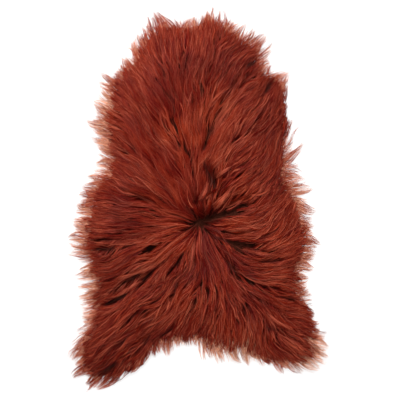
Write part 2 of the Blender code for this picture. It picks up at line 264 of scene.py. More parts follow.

# Where the wool is paler or darker, partly where the dye took so and partly as painted light and shade
# of the pile's uneven lie, and how far the locks there are brushed out to loose hair or, below 0,
# drawn into separate locks
PATCH_COLUMNS = ("place", "x", "y", "radius", "dye_and_painted_light", "brushed")
PATCHES = (
    ("nape", -0.05, 0.43, 0.070, -0.11, 0.3),
    ("nape_right", -0.030, 0.376, 0.034, -0.46, 0.4),
    ("neck", 0.043, 0.405, 0.026, 0.20, 0.1),
    ("neck_right", 0.10, 0.38, 0.055, -0.22, -0.3),
    ("withers_high_right", 0.080, 0.333, 0.022, -0.18, 0.0),
    ("shoulder_high_right", 0.136, 0.287, 0.030, -0.18, 0.1),
    ("back_inner", -0.024, 0.200, 0.020, -0.04, 0.8),
    ("back_inner_left", -0.062, 0.190, 0.020, 0.16, 1.0),
    ("ribs_low_right", 0.108, 0.157, 0.024, -0.16, 0.0),
    ("neck_left", -0.118, 0.360, 0.028, 0.06, 0.4),
    ("cheek_left", -0.248, 0.325, 0.022, -0.14, 0.2),
    ("shoulder_rim_left", -0.25, 0.25, 0.035, 0.08, 0.5),
    ("foreleg_rim_left", -0.20, 0.35, 0.040, 0.06, 0.4),
    ("shoulder_left", -0.17, 0.26, 0.070, -0.12, 1.0),
    ("foreleg_left", -0.172, 0.297, 0.024, 0.28, 0.9),
    ("shoulder_low_left", -0.164, 0.200, 0.030, -0.26, 1.0),
    ("withers", -0.09, 0.29, 0.050, -0.26, 0.9),
    ("withers_high", 0.006, 0.292, 0.022, -0.20, 0.3),
    ("withers_right", -0.004, 0.25, 0.050, 0.04, 0.8),
    ("withers_low", 0.038, 0.237, 0.032, 0.44, 0.0),
    ("back", -0.094, 0.185, 0.032, 0.30, 1.0),
    ("back_middle", -0.010, 0.130, 0.050, 0.04, 1.0),
    ("back_low", -0.085, 0.130, 0.028, -0.20, 1.0),
    ("back_left", -0.15, 0.12, 0.060, 0.00, 1.0),
    ("loin", -0.07, 0.045, 0.050, -0.12, 1.0),
    ("loin_left", -0.144, 0.067, 0.022, 0.12, 0.6),
    ("waist_left", -0.136, 0.017, 0.030, -0.14, 0.5),
    ("waist_rim_left", -0.208, 0.062, 0.028, -0.14, 0.3),
    ("flank_rim_left", -0.300, 0.015, 0.022, -0.14, 0.0),
    ("ribs_rim_left", -0.24, 0.14, 0.030, 0.05, 0.4),
    ("back_right", 0.06, 0.20, 0.060, 0.00, 0.0),
    ("ribs_right", 0.118, 0.225, 0.045, -0.08, -0.1),
    ("shoulder_rim_right", 0.215, 0.200, 0.030, -0.18, -0.2),
    ("waist_rim_right", 0.225, 0.060, 0.026, -0.16, 0.0),
    ("waist_right", 0.136, 0.025, 0.022, 0.14, 0.0),
    ("back_low_right", 0.032, 0.137, 0.024, 0.14, 0.0),
    ("swirl", 0.043, 0.118, 0.022, 0.12, 0.0),
    ("crown_top", 0.030, 0.012, 0.022, 0.34, 0.0),
    ("crown_high_left", -0.066, -0.006, 0.044, -0.02, 1.0),
    ("crown_high", -0.034, 0.014, 0.040, 0.02, 1.0),
    # Painted shade above the whorl, where the roots of the rising hair lie in shadow
    ("crown_shade", 0.006, -0.032, 0.013, -0.26, 0.0),
    ("crown_lock", 0.055, -0.004, 0.016, 0.34, 0.0),
    ("crown_left", -0.048, -0.088, 0.034, 0.48, 0.0),
    ("crown_below", -0.006, -0.094, 0.018, 0.16, 0.0),
    ("flank_low_left", -0.130, -0.134, 0.035, 0.44, -0.2),
    ("rump_high_left", -0.050, -0.143, 0.026, 0.20, 0.0),
    ("belly_left", -0.190, -0.087, 0.025, 0.12, 0.0),
    ("flank_left", -0.18, -0.02, 0.060, -0.14, 0.5),
    ("crown_under", 0.070, -0.066, 0.024, 0.26, 0.0),
    ("flank_high_right", 0.110, -0.003, 0.020, 0.10, 0.0),
    ("crown_right", 0.112, -0.098, 0.030, 0.14, 0.2),
    ("belly_right", 0.190, -0.100, 0.030, 0.26, 0.1),
    ("hip_left", -0.250, -0.165, 0.028, -0.34, -0.4),
    ("thigh_high_left", -0.205, -0.240, 0.050, -0.04, -0.6),
    ("rump", 0.037, -0.175, 0.055, -0.26, 0.2),
    ("tail_head", -0.018, -0.270, 0.026, 0.32, -0.1),
    ("rump_low_left", -0.110, -0.250, 0.045, 0.00, -0.6),
    ("hip_right", 0.130, -0.225, 0.036, 0.20, 0.1),
    ("hip_inner_left", -0.146, -0.142, 0.022, 0.14, 0.2),
    ("hip_back_left", -0.164, -0.213, 0.020, 0.12, 0.1),
    ("thigh_high_right", 0.150, -0.272, 0.030, -0.16, 0.1),
    ("low_belly_right", 0.116, -0.134, 0.018, 0.14, 0.0),
    ("hip_high_right", 0.168, -0.200, 0.020, -0.12, 0.0),
    ("rump_high_right", 0.090, -0.158, 0.026, -0.18, 0.0),
    ("thigh_right", 0.085, -0.285, 0.030, -0.22, 0.0),
    ("thigh_left", -0.256, -0.358, 0.024, 0.12, -0.5),
    ("tail_left", -0.052, -0.320, 0.024, 0.14, -0.2),
    ("tail", 0.00, -0.35, 0.090, -0.08, 0.0),
    ("leg_left", -0.190, -0.360, 0.045, 0.02, -0.7),
    ("leg_high_left", -0.148, -0.305, 0.024, 0.16, -0.6),
    ("foot_left", -0.27, -0.45, 0.060, -0.20, -0.9),
    ("leg_right", 0.25, -0.38, 0.070, -0.06, 0.0),
    ("leg_rim_right", 0.290, -0.360, 0.024, -0.16, 0.0),
)

# Locks that lie apart from the rest, with their roots at one place and their tips at the other.
# bend is how far the middle bows out to the left, and high is how far they lie above the coat.
LOOSE_COLUMNS = ("place", "x", "y", "to_x", "to_y", "bend", "width", "high", "tone")
LOOSE_LOCKS = (
    ("crown_lock", 0.034, -0.026, 0.096, 0.050, -0.006, 0.036, 0.010, 0.92),
    ("crown_lock_low", 0.030, -0.020, 0.070, 0.024, -0.004, 0.016, 0.012, 0.98),
    ("crown_fan", 0.010, -0.034, 0.026, 0.010, -0.002, 0.018, 0.002, 0.42),
    ("crown_over", 0.064, -0.022, 0.120, 0.012, -0.004, 0.018, 0.005, 0.64),
    ("crown_over_far", 0.100, -0.006, 0.160, 0.026, -0.006, 0.011, 0.002, 0.60),
    ("swirl_inner", -0.006, 0.002, 0.016, 0.056, -0.004, 0.019, 0.010, 0.97),
    ("swirl_edge", 0.008, 0.004, 0.030, 0.052, -0.005, 0.008, 0.005, 0.86),
    ("swirl_outer", -0.034, -0.020, -0.060, 0.072, 0.012, 0.026, 0.004, 0.40),
    ("swirl_outer_low", -0.022, -0.024, -0.036, 0.046, 0.011, 0.016, 0.003, 0.40),
    # The swirl_shade locks are dark, of tone near 0: painted shade in the hollows of the swirl
    ("swirl_shade", -0.022, -0.010, -0.013, 0.026, -0.004, 0.012, 0.007, 0.02),
    ("swirl_shade_low", 0.008, -0.040, -0.022, -0.004, 0.007, 0.018, 0.006, 0.04),
    ("swirl_shade_right", 0.048, 0.030, 0.012, 0.008, -0.006, 0.011, 0.007, 0.02),
    ("swirl_shade_high", 0.012, 0.098, 0.036, 0.052, 0.004, 0.015, 0.002, 0.02),
    ("swirl_fan", 0.044, 0.064, 0.086, 0.096, 0.003, 0.022, 0.007, 0.84),
    ("swirl_fan_low", 0.048, 0.050, 0.096, 0.066, 0.003, 0.010, 0.002, 0.60),
    ("swirl_fan_high", 0.030, 0.094, 0.070, 0.128, 0.003, 0.018, 0.003, 0.66),
    ("back_right", 0.018, 0.254, 0.094, 0.326, 0.006, 0.016, 0.004, 0.85),
    ("back_right_low", 0.060, 0.180, 0.118, 0.244, 0.005, 0.012, 0.003, 0.75),
    ("neck", -0.040, 0.240, -0.022, 0.310, 0.003, 0.010, 0.003, 0.92),
    ("thigh_left", -0.166, -0.218, -0.276, -0.276, 0.006, 0.016, 0.004, 0.90),
    ("thigh_left_low", -0.190, -0.262, -0.286, -0.318, 0.006, 0.012, 0.003, 0.75),
    ("hip_left", -0.120, -0.170, -0.236, -0.214, 0.004, 0.014, 0.003, 0.80),
    ("belly_left", -0.150, -0.108, -0.262, -0.118, 0.004, 0.014, 0.003, 0.72),
    ("waist_left", -0.120, -0.016, -0.226, 0.028, -0.006, 0.013, 0.003, 0.80),
    ("tail_left", -0.060, -0.300, -0.118, -0.366, 0.004, 0.012, 0.003, 0.75),
    ("tail", 0.010, -0.280, -0.014, -0.370, 0.003, 0.013, 0.003, 0.70),
    ("hock_left", -0.112, -0.372, -0.130, -0.440, -0.008, 0.008, 0.002, 0.60),
    ("waist_right_curl", 0.130, 0.020, 0.196, 0.052, -0.016, 0.009, 0.003, 0.80),
    ("thigh_right", 0.110, -0.130, 0.236, -0.150, -0.006, 0.013, 0.003, 0.78),
    ("leg_right", 0.170, -0.300, 0.262, -0.360, -0.006, 0.014, 0.003, 0.76),
)

# Kinds of lock. A pair is a range, and lengths are in metres.
KIND_COLUMNS = ("measure", "coat", "skirt", "guard", "veil", "fringe", "loose")
KINDS = (
    ("strands", 20, 12, 3, 15, 15, 44),  # in one lock
    ("bundles", 5, 4, 3, 5, 6, 11),  # that its strands keep to
    ("uneven", 0.27, 0.27, 0.27, 0.42, 0.36, 0.30),  # in tone, from one bundle to the next
    ("width", 0.0140, 0.0150, 0.0100, 0.0200, 0.0110, 1.0),  # of a lock, or of its own width
    ("depth", 0.0075, 0.0040, 0.0060, 0.0030, 0.0030, 0.35),
    ("foot", 0.25, 0.50, 0.50, 1.00, 1.00, 1.00),  # its width at the root, as a share
    ("hair", 0.00105, 0.00150, 0.00090, 0.00085, 0.00085, 0.00085),  # width of a strand
    ("apart", 0.0028, 0.0020, 0.0030, 0.0030, 0.0022, 0.0015),  # by which the bundles' tips stray
    ("stray", 0.14, 0.20, 0.50, 0.25, 0.20, 0.20),  # share of strands that go their own way
    ("wander", 0.007, 0.006, 0.009, 0.006, 0.005, 0.006),  # and how far
    ("rings", 6, 5, 8, 5, 6, 8),  # points along a strand
    ("covered", 0.24, 0.10, 0.00, 0.00, 0.00, 0.00),  # share of a lock that lies under its neighbours
    ("ends", 0.18, 0.16, 0.20, 0.46, 0.42, 0.40),  # the share of the lock in which strands end
    ("buried", 0.50, 0.70, 0.20, 0.60, 0.60, 0.15),  # how deep the roots start
    ("lowest", 0.0030, 0.0028, 0.0034, 0.0010, 0.0012, 0.0034),  # that any of it lies
    ("deep", 0.175, 0.10, 0.30, 0.64, 0.62, 0.40),  # lightness at the root, darker there partly as painted shade deep in the pile
    ("pale", 0.685, 0.58, 0.71, 1.00, 1.00, 0.67),  # and at the tip
    ("grade", 0.55, 0.55, 0.55, 1.00, 1.00, 0.55),  # how soon it gets there
    ("palest", 0.80, 0.76, 0.82, 0.99, 0.99, 0.76),  # that any of it is
    ("point", 0.93, 0.93, 0.93, 0.60, 0.90, 0.93),  # how far it narrows to its tip
    ("shaded", 0.90, 0.90, 0.80, 0.15, 0.15, 0.25),  # how far partings darken it, as painted shade
    ("brushes", 1.0, 1.0, 0.0, 0.0, 0.0, 0.0),  # how far brushing spreads it
    ("sizes", (0.65, 1.30), (0.7, 1.3), None, (0.7, 1.4), (0.7, 1.4), None),  # times width and depth
    ("waves", (6, 20), (3, 12), (6, 20), (4, 22), (4, 22), None),  # to each side, in degrees
    ("wave_lengths", (0.045, 0.095), (0.05, 0.12), (0.05, 0.12), (0.05, 0.10), (0.05, 0.10), None),
    ("lifts", None, (-0.002, 0.0), (0.002, 0.006), (-0.001, 0.0), (-0.001, 0.001), None),  # in height
    ("tone", 0.50, 0.50, 0.58, 0.58, 0.56, None),  # of the locks, from 0 to 1
    ("tones", 0.10, 0.10, 0.15, 0.12, 0.12, None),  # and its spread
)

# How each kind grows. inside is how far inside the rim its roots stand, jitter how uneven their
# places are as a share of their spacing, and ends where the tips stop. A pair is a range.
COAT = SimpleNamespace(
    inside=0.032,
    ragged=(-0.008, 0.010),  # unevenness of that
    jitter=0.42,
    crown_reach=0.045,  # round the whorl, where the locks stand closer
    crown_spacing=0.65,  # there, times the setting
    lengths=(0.72, 1.18),  # times the setting
    ends=(0.45, 1.30),  # of a tuft, times the fringe's bare
    uneven_ends=(-0.008, 0.007),  # of a lock in it
    short_sizes=(0.55, 1.1),  # least and most that a cut lock keeps of its size
    tuft_tones=0.08,  # spread from tuft to tuft
    lifts=0.0022,  # spread from tuft to tuft, and again from lock to lock
    shortest=0.035,
)
TUFTS = SimpleNamespace(  # that the coat's locks draw together into
    inside=0.01,
    jitter=0.4,
    across=0.05,  # how much farther off a tuft counts for a root whose hair lies across it
    lean=5,  # spread to each side, in degrees
    hook=12,  # spread of the tips' turn, in degrees
    apart=5,  # spread of a lock's heading from its tuft's, in degrees
    shift=0.35,  # spread of a lock's wave along its tuft's, in radians
    pulls=(0.5, 1.4),  # times the setting
    late=1.4,  # above 1, they draw together nearer the tips
)
SKIRT = SimpleNamespace(
    inside=(0.034, 0.085),
    jitter=0.45,
    length=0.11,
    outward=1.2,  # how far it turns from the coat's heading to the fringe's
    ends=(0.8, 1.5),  # times the fringe's bare
)
GUARD = SimpleNamespace(
    inside=0.05,
    jitter=0.5,
    lengths=(0.9, 1.3),  # times the setting for the coat's
    ends=(0.004, 0.018),  # inside the rim
)
WISPS = SimpleNamespace(  # of veil and fringe
    jitter=0.5,
    length=0.12,  # before they end at the rim
    curls=0.15,  # spread of their own curl, in radians, on top of the fringe's
    kept=(0.012, 0.115),  # lengths, once they end at the rim
)
VEIL = SimpleNamespace(
    inside=(0.002, 0.030),  # the ends of the long locks
    by_pale=3,  # how much of it is left out where the fringe is dark
    sparsest=0.12,  # share that stays there
    narrowest=0.006,  # band in which it fades out
    ends=(0.0, 0.85),  # shares of the band that wisps fall short by
)
RIM_TUFTS = SimpleNamespace(
    inside=(0.004, 0.030),  # the ends of the long locks
    roots_inside=(0.002, 0.034),  # and those of their wisps
    jitter=0.6,
    ends=(-0.012, 0.013),  # past the fringe's reach
    pulls=(0.70, 0.97),  # share by which the wisps' tips draw together
    tones=0.12,  # spread from tuft to tuft
)

# How strands lie in their lock, whatever its kind
STRANDS = SimpleNamespace(
    starts=(0.0, 0.15),  # shares of the lock's path that they begin at
    covered_from=(0.03, 0.09),  # from the whorl, over which neighbours come to cover a lock's foot
    early=1.5,  # above 1, fewer bundles end early
    ends=0.05,  # share of the path by which strands of a bundle end unevenly
    keep=0.88,  # how closely strands keep to their bundle's place across the lock
    across=0.12,  # and their spread round it
    heights=(0.3, 1.0),  # shares of the lock's depth that bundles lie at
    own_heights=(0.8, 1.0),  # and of a bundle's that strands do
    full=0.35,  # share of the path by which the lock has its full width
    close=0.0009,  # spread from their bundle at the tips
    ripples=(0.0002, 0.0009),  # of each strand to its side
    ripple_lengths=(0.025, 0.07),
    shallow=1.6,  # above 1, roots rise to the top of the fleece sooner
    arch=0.8,  # below 1, a lifted lock is flatter on top
    deep_from=(-0.02, 0.08),  # inside the rim, over which locks gain their depth
    rise=0.003,  # of stray strands, at their tips
    uneven_lowest=0.002,
    widths=(0.6, 1.35),  # times the kind's hair
    stray_width=0.6,  # times that
    roll=34,  # degrees that strands turn from a lock's middle to its edges
    rolls=14,  # spread from bundle to bundle
    own_rolls=18,  # and from strand to strand
    painted_lock_shade=0.30,  # painted shade: how much lighter a lock's top strands are painted than its bottom ones, which would lie in its shadow
    shades=0.09,  # spread from strand to strand
    glint=0.07,  # painted glints: how much lighter and darker the waves of a lock are painted, as if they catch the light
    glint_lengths=(0.022, 0.060),
    glint_shifts=0.5,  # spread from strand to strand, in radians
    dye_and_painted_light=0.5,  # how far the uneven dye and the painted light and shade show
    dye_from=0.12,  # share of the path by which it does
    parted=(0.15, 0.75),  # how deep in a parting strands start to be painted dark as shade, and are
    parted_inside=(0.020, 0.045),  # the rim, over which partings come to show
    left_out=0.35,  # share of strands that a dark parting leaves out
    left_out_from=0.5,  # darkness of such a parting
    tones=0.25,  # spread from strand to strand
)
STRAND_AT = (0, 0.25, 0.7, 1)  # shares of a strand's length
STRAND_WIDTHS = (0.8, 1.0, 0.75, 0.1)  # and its width there
DARKEST = 0.03  # shade of any strand
TONES = (0.01, 0.99)  # of any strand

# What a full brushing does to a lock, as shares
BRUSHING = SimpleNamespace(wider=0.5, lower=0.6, flatter=0.5, neater=0.5, evener=0.5, duller=0.5,
    same_tones=0.75, same_own_tones=0.6, unclumped=0.7)

# Uneven patterns over the floor: the size of their features, and their seed
CLOUDS = {
    "sway": (0.13, 5),
    "dye_and_painted_light": (0.17, 31),
    "fine_dye_and_light": (0.06, 32),
    "brushed_dye_and_light": (0.045, 33),
    "coat_parts": (0.2, 8),
    "mat_edge": (0.035, 9),
    "mat_top": (0.016, 3),
    "cockle": (0.05, 6),
}
CLOUD_WAVES = 14  # that make up each pattern
CLOUD_PITCHES = (0.6, 1.3)  # of these waves
DYE_AND_LIGHT_CLOUDS = 0.11  # how far the dye is uneven, with painted light and shade of the pile's lie
DYE_AND_LIGHT_FINE_CLOUDS = 0.06
DYE_AND_LIGHT_BRUSHED_CLOUDS = 0.10  # and more of it where the wool is brushed out, painted light and shade on its uneven lie

SEEDS = {"coat": 21, "guard": 22, "fringe": 23, "loose": 24, "skirt": 25}  # of the random draws
GRID_STEP = 0.003  # of the maps of the fleece's height and lie
GRID_MARGIN = 0.060  # that they reach past the rug
RAY_START = 0.01  # above the CAD node whose height is read
RIM_BLUR = 1.5  # steps of the grid that the rim's map is smoothed over
TOP_BLUR = 2  # and the height's
TOP_EDGE_BLUR = 1  # and the height's again, where it ends
PARTING_BLUR = 1  # and the partings' darkness, before the locks bend away from it
SLOPE_STEP = 1.5  # steps of the grid to each side, over which a slope is measured
LAST_CELL = 1.001  # from a map's count back to the last place that can be read
LAST_STRETCH = 1.0001  # and from the count of a path's points
NEAR_SHARE = 0.02  # of a place's surroundings that has fleece, for the height to be carried on there
LEAST_SHARE = 1e-3  # that the height is divided by
THINNEST = 0.004  # height of the fleece in its deepest partings and past its rim
HIGHEST = 0.064  # of any hair
LOCK_NODES = 20  # points that a lock's path is worked out at
LATE_CURL = 1.5  # above 1, wisps curl nearer their tips
COAT_PARTS = ("hind", "rump", "flanks", "shoulders", "neck")
COAT_PART_EDGES = 0.03  # by which the line between two of them wanders
CHART_EDGE = 0.004  # from the middle of a strand to its edge, on its map
TINY = 1e-9  # least divisor

# The undercoat, which lies on the hide under the locks
MAT = SimpleNamespace(
    step=0.009,  # of its grid
    inset=0.003,  # from where the long locks end to its edge
    edge=0.004,  # unevenness of that edge
    bare=1.05,  # times the fringe's
    on_hide=0.003,  # that it reaches in from the hide's edge at least
    clear=0.0006,  # off the floor, past the hide
    sunk=0.0002,  # by which it clears the hide less
    seat_over=(-0.012, -0.001),  # inside the hide's edge, over which it climbs onto the hide
    full_over=(-0.02, 0.06),  # and over which it gains its height
    at_whorl=0.30,  # share of its height that it has at the whorl
    whorl_over=(0.01, 0.07),  # from the whorl, over which it gains the rest
    tufts=0.0025,  # unevenness of its top
    tufts_over=(0.0, 0.02),  # inside the hide's edge, over which that sets in
    thinnest=0.0018,  # that it is anywhere
    mottle=(0.5, 1.2),  # darkest and palest, times the roots' colour, which is partly painted shade
    mottle_size=0.012,  # of the clouds between the two
    nap=0.001,  # depth of its relief
)
# The hide, seen from below
SUEDE = SimpleNamespace(
    step=0.010,  # of its grid
    cockle_over=(0.01, 0.05),  # inside its edge, over which its waves set in
    mottle=(0.78, 1.12),  # darkest and palest, times its colour
    mottle_size=0.06,  # of the clouds between the two
    nap=0.0003,  # depth of its relief
)
EDGE_ROUNDS = 3  # in which a sheet's edge is moved onto its rim
EDGE_LEAST = 0.2  # slope of the rim's map, squared, that these moves reckon with
SHEET_GAP = 0.001  # between a new sheet's two faces

# Shader values of each finish
FINISHES = {
    "wool_dye_and_painted_light": {"Roughness": 0.50, "Specular IOR Level": 0.09},
    "undercoat_wool": {"Roughness": 0.9, "Specular IOR Level": 0.0},
    "suede": {"Roughness": 0.92, "Specular IOR Level": 0.15, "Sheen Weight": 0.25,
        "Sheen Roughness": 0.6},
    "white_paper": {"Roughness": 0.9, "Specular IOR Level": 0.1, "Base Color": (0.32, 0.32, 0.32, 1),
        "Emission Color": (1, 1, 1, 1)},
}
COAT_AT, TIP_AT = 0.5, 0.8  # shades at which the wool has its coat's and its tips' colours
# What a strand's tone does to its colour, from tone 0 to tone 1
TONE_RANGES = {"Hue": (0.494, 0.507), "Saturation": (1.06, 0.93), "Value": (0.39, 1.27)}
MOTTLE_DETAIL = 6
MOTTLE_RANGE = (0.32, 0.68)  # of the noise that runs from dark to pale
NAP_SCALE = 900
NAP_DETAIL = 2
MIX_FACTOR, MIX_DARK, MIX_PALE, MIX_COLOUR = 0, 6, 7, 2  # sockets of a node that mixes colours

# The studio
FLOOR_SIZE = 60
FLOOR_DROP = 0.0002  # below the rug, so that the two don't share a plane
LAMP_SIZE = 1.4
LAMP_PLACE = (-0.6, 1.7, 2.6)
CAMERA_PLACE = (-0.0042, 0.0028)
CAMERA_SENSOR = 36  # millimetres
CAMERA_FARTHEST = 50


class PileSettings(bpy.types.PropertyGroup):
    """The fleece's measures."""

    lock_spacing: FloatProperty(name="Lock spacing", description="Between the roots of two locks",
        default=0.0118, unit="LENGTH")
    lock_length: FloatProperty(name="Lock length", description="Of an uncut lock, along its curve",
        default=0.135, unit="LENGTH")
    clump_spacing: FloatProperty(name="Clump spacing", description="Between tufts of several locks",
        default=0.030, unit="LENGTH")
    clump_pull: FloatProperty(name="Clump pull", description="Share by which tips draw together",
        default=0.45, subtype="FACTOR")
    guard_spacing: FloatProperty(name="Guard hair spacing", description="Between long single hairs",
        default=0.022, unit="LENGTH")
    skirt_spacing: FloatProperty(name="Skirt spacing", description="Between shorter locks by the rim",
        default=0.0135, unit="LENGTH")
    veil_spacing: FloatProperty(name="Veil spacing", description="Between thin wisps at the rim",
        default=0.0078, unit="LENGTH")
    fringe_spacing: FloatProperty(name="Fringe spacing", description="Between wisps in the rim's tufts",
        default=0.0135, unit="LENGTH")
    tuft_spacing: FloatProperty(name="Fringe tufts", description="Between pointed tufts of the fringe",
        default=0.024, unit="LENGTH")


class HideSettings(bpy.types.PropertyGroup):
    """The skin's and the undercoat's measures."""

    cockle: FloatProperty(name="Cockle", description="Height of the skin's slight waves",
        default=0.0006, unit="LENGTH")
    undercoat: FloatProperty(name="Undercoat", description="Its share of the pile's height",
        default=0.55, subtype="FACTOR")


class ColourSettings(bpy.types.PropertyGroup):
    """The colours of the wool and the hide."""

    # Roots: the wool's darker colour at the skin, deepened as painted shade for the depth of the pile;
    # the undercoat takes this colour too
    root: FloatVectorProperty(name="Roots", description="Wool at the skin and in the partings",
        subtype="COLOR", default=(0.059, 0.0146, 0.0088))
    coat: FloatVectorProperty(name="Coat", description="Most of the wool's length",
        subtype="COLOR", default=(0.236, 0.0106, 0.0038))
    tip: FloatVectorProperty(name="Tips", description="Worn, paler ends of the hair",
        subtype="COLOR", default=(0.490, 0.0570, 0.0200))
    # Wisps: paler partly as painted light, standing for light that passes through thin hair
    wisp: FloatVectorProperty(name="Wisps", description="Thin fringe that light passes through",
        subtype="COLOR", default=(0.880, 0.420, 0.260))
    suede: FloatVectorProperty(name="Suede", description="The tanned underside",
        subtype="COLOR", default=(0.330, 0.110, 0.062))


class StudioSettings(bpy.types.PropertyGroup):
    """Floor, lights and camera."""

    camera_height: FloatProperty(name="Camera height", description="Above the floor",
        default=3.2, unit="LENGTH")
    picture_width: FloatProperty(name="Picture width", description="Floor that the picture spans",
        default=1.12, unit="LENGTH")
    key: FloatProperty(name="Key light", description="Power of the large soft light, in watts",
        default=85.0)
    dome: FloatProperty(name="Dome", description="Strength of the white surroundings", default=0.55)
    glow: FloatProperty(name="Floor glow", description="Light of the lit white floor", default=0.78)


def rows(columns, table):
    """The table's rows as namespaces, by their columns' names."""
    return [SimpleNamespace(**dict(zip(columns, row))) for row in table]


def kind_of(name):
    """The measures of this kind of lock."""
    column = KIND_COLUMNS.index(name)
    return SimpleNamespace(**{row[0]: row[column] for row in KINDS})


def smooth_step(x, low, high):
    """0 below low, 1 above high, and smooth between."""
    t = np.clip((x - low) / (high - low), 0, 1)
    return t * t * (3 - 2 * t)


def unit(v):
    """The vectors at a length of 1."""
    return v / np.maximum(np.linalg.norm(v, axis=-1, keepdims=True), TINY)


def turned(flow, angle):
    """Flat directions turned by these angles."""
    c, s = np.cos(angle), np.sin(angle)
    return np.stack([flow[..., 0] * c - flow[..., 1] * s, flow[..., 0] * s + flow[..., 1] * c], -1)


def swell(points, clouds):
    """Smooth unevenness over the floor's plane, about -1 to 1, by one of the CLOUDS."""
    size, seed = CLOUDS[clouds]
    chance = np.random.default_rng(seed)
    turn = chance.uniform(0, TAU, CLOUD_WAVES)
    pitch = TAU / size * chance.uniform(*CLOUD_PITCHES, CLOUD_WAVES)
    phase = chance.uniform(0, TAU, CLOUD_WAVES)
    ripple = points[..., :1] * np.cos(turn) * pitch + points[..., 1:2] * np.sin(turn) * pitch
    return np.sin(ripple + phase).sum(-1) / math.sqrt(CLOUD_WAVES)


def blurred(grid, steps):
    """The grid, smoothed over about this many of its steps."""
    reach = int(3 * steps)
    kernel = np.exp(-np.arange(-reach, reach + 1) ** 2 / (2 * steps**2))
    kernel /= kernel.sum()
    for axis in (0, 1):
        wide = np.pad(grid, [(reach, reach) if a == axis else (0, 0) for a in (0, 1)], mode="edge")
        grid = np.apply_along_axis(lambda line: np.convolve(line, kernel, "valid"), axis, wide)
    return grid


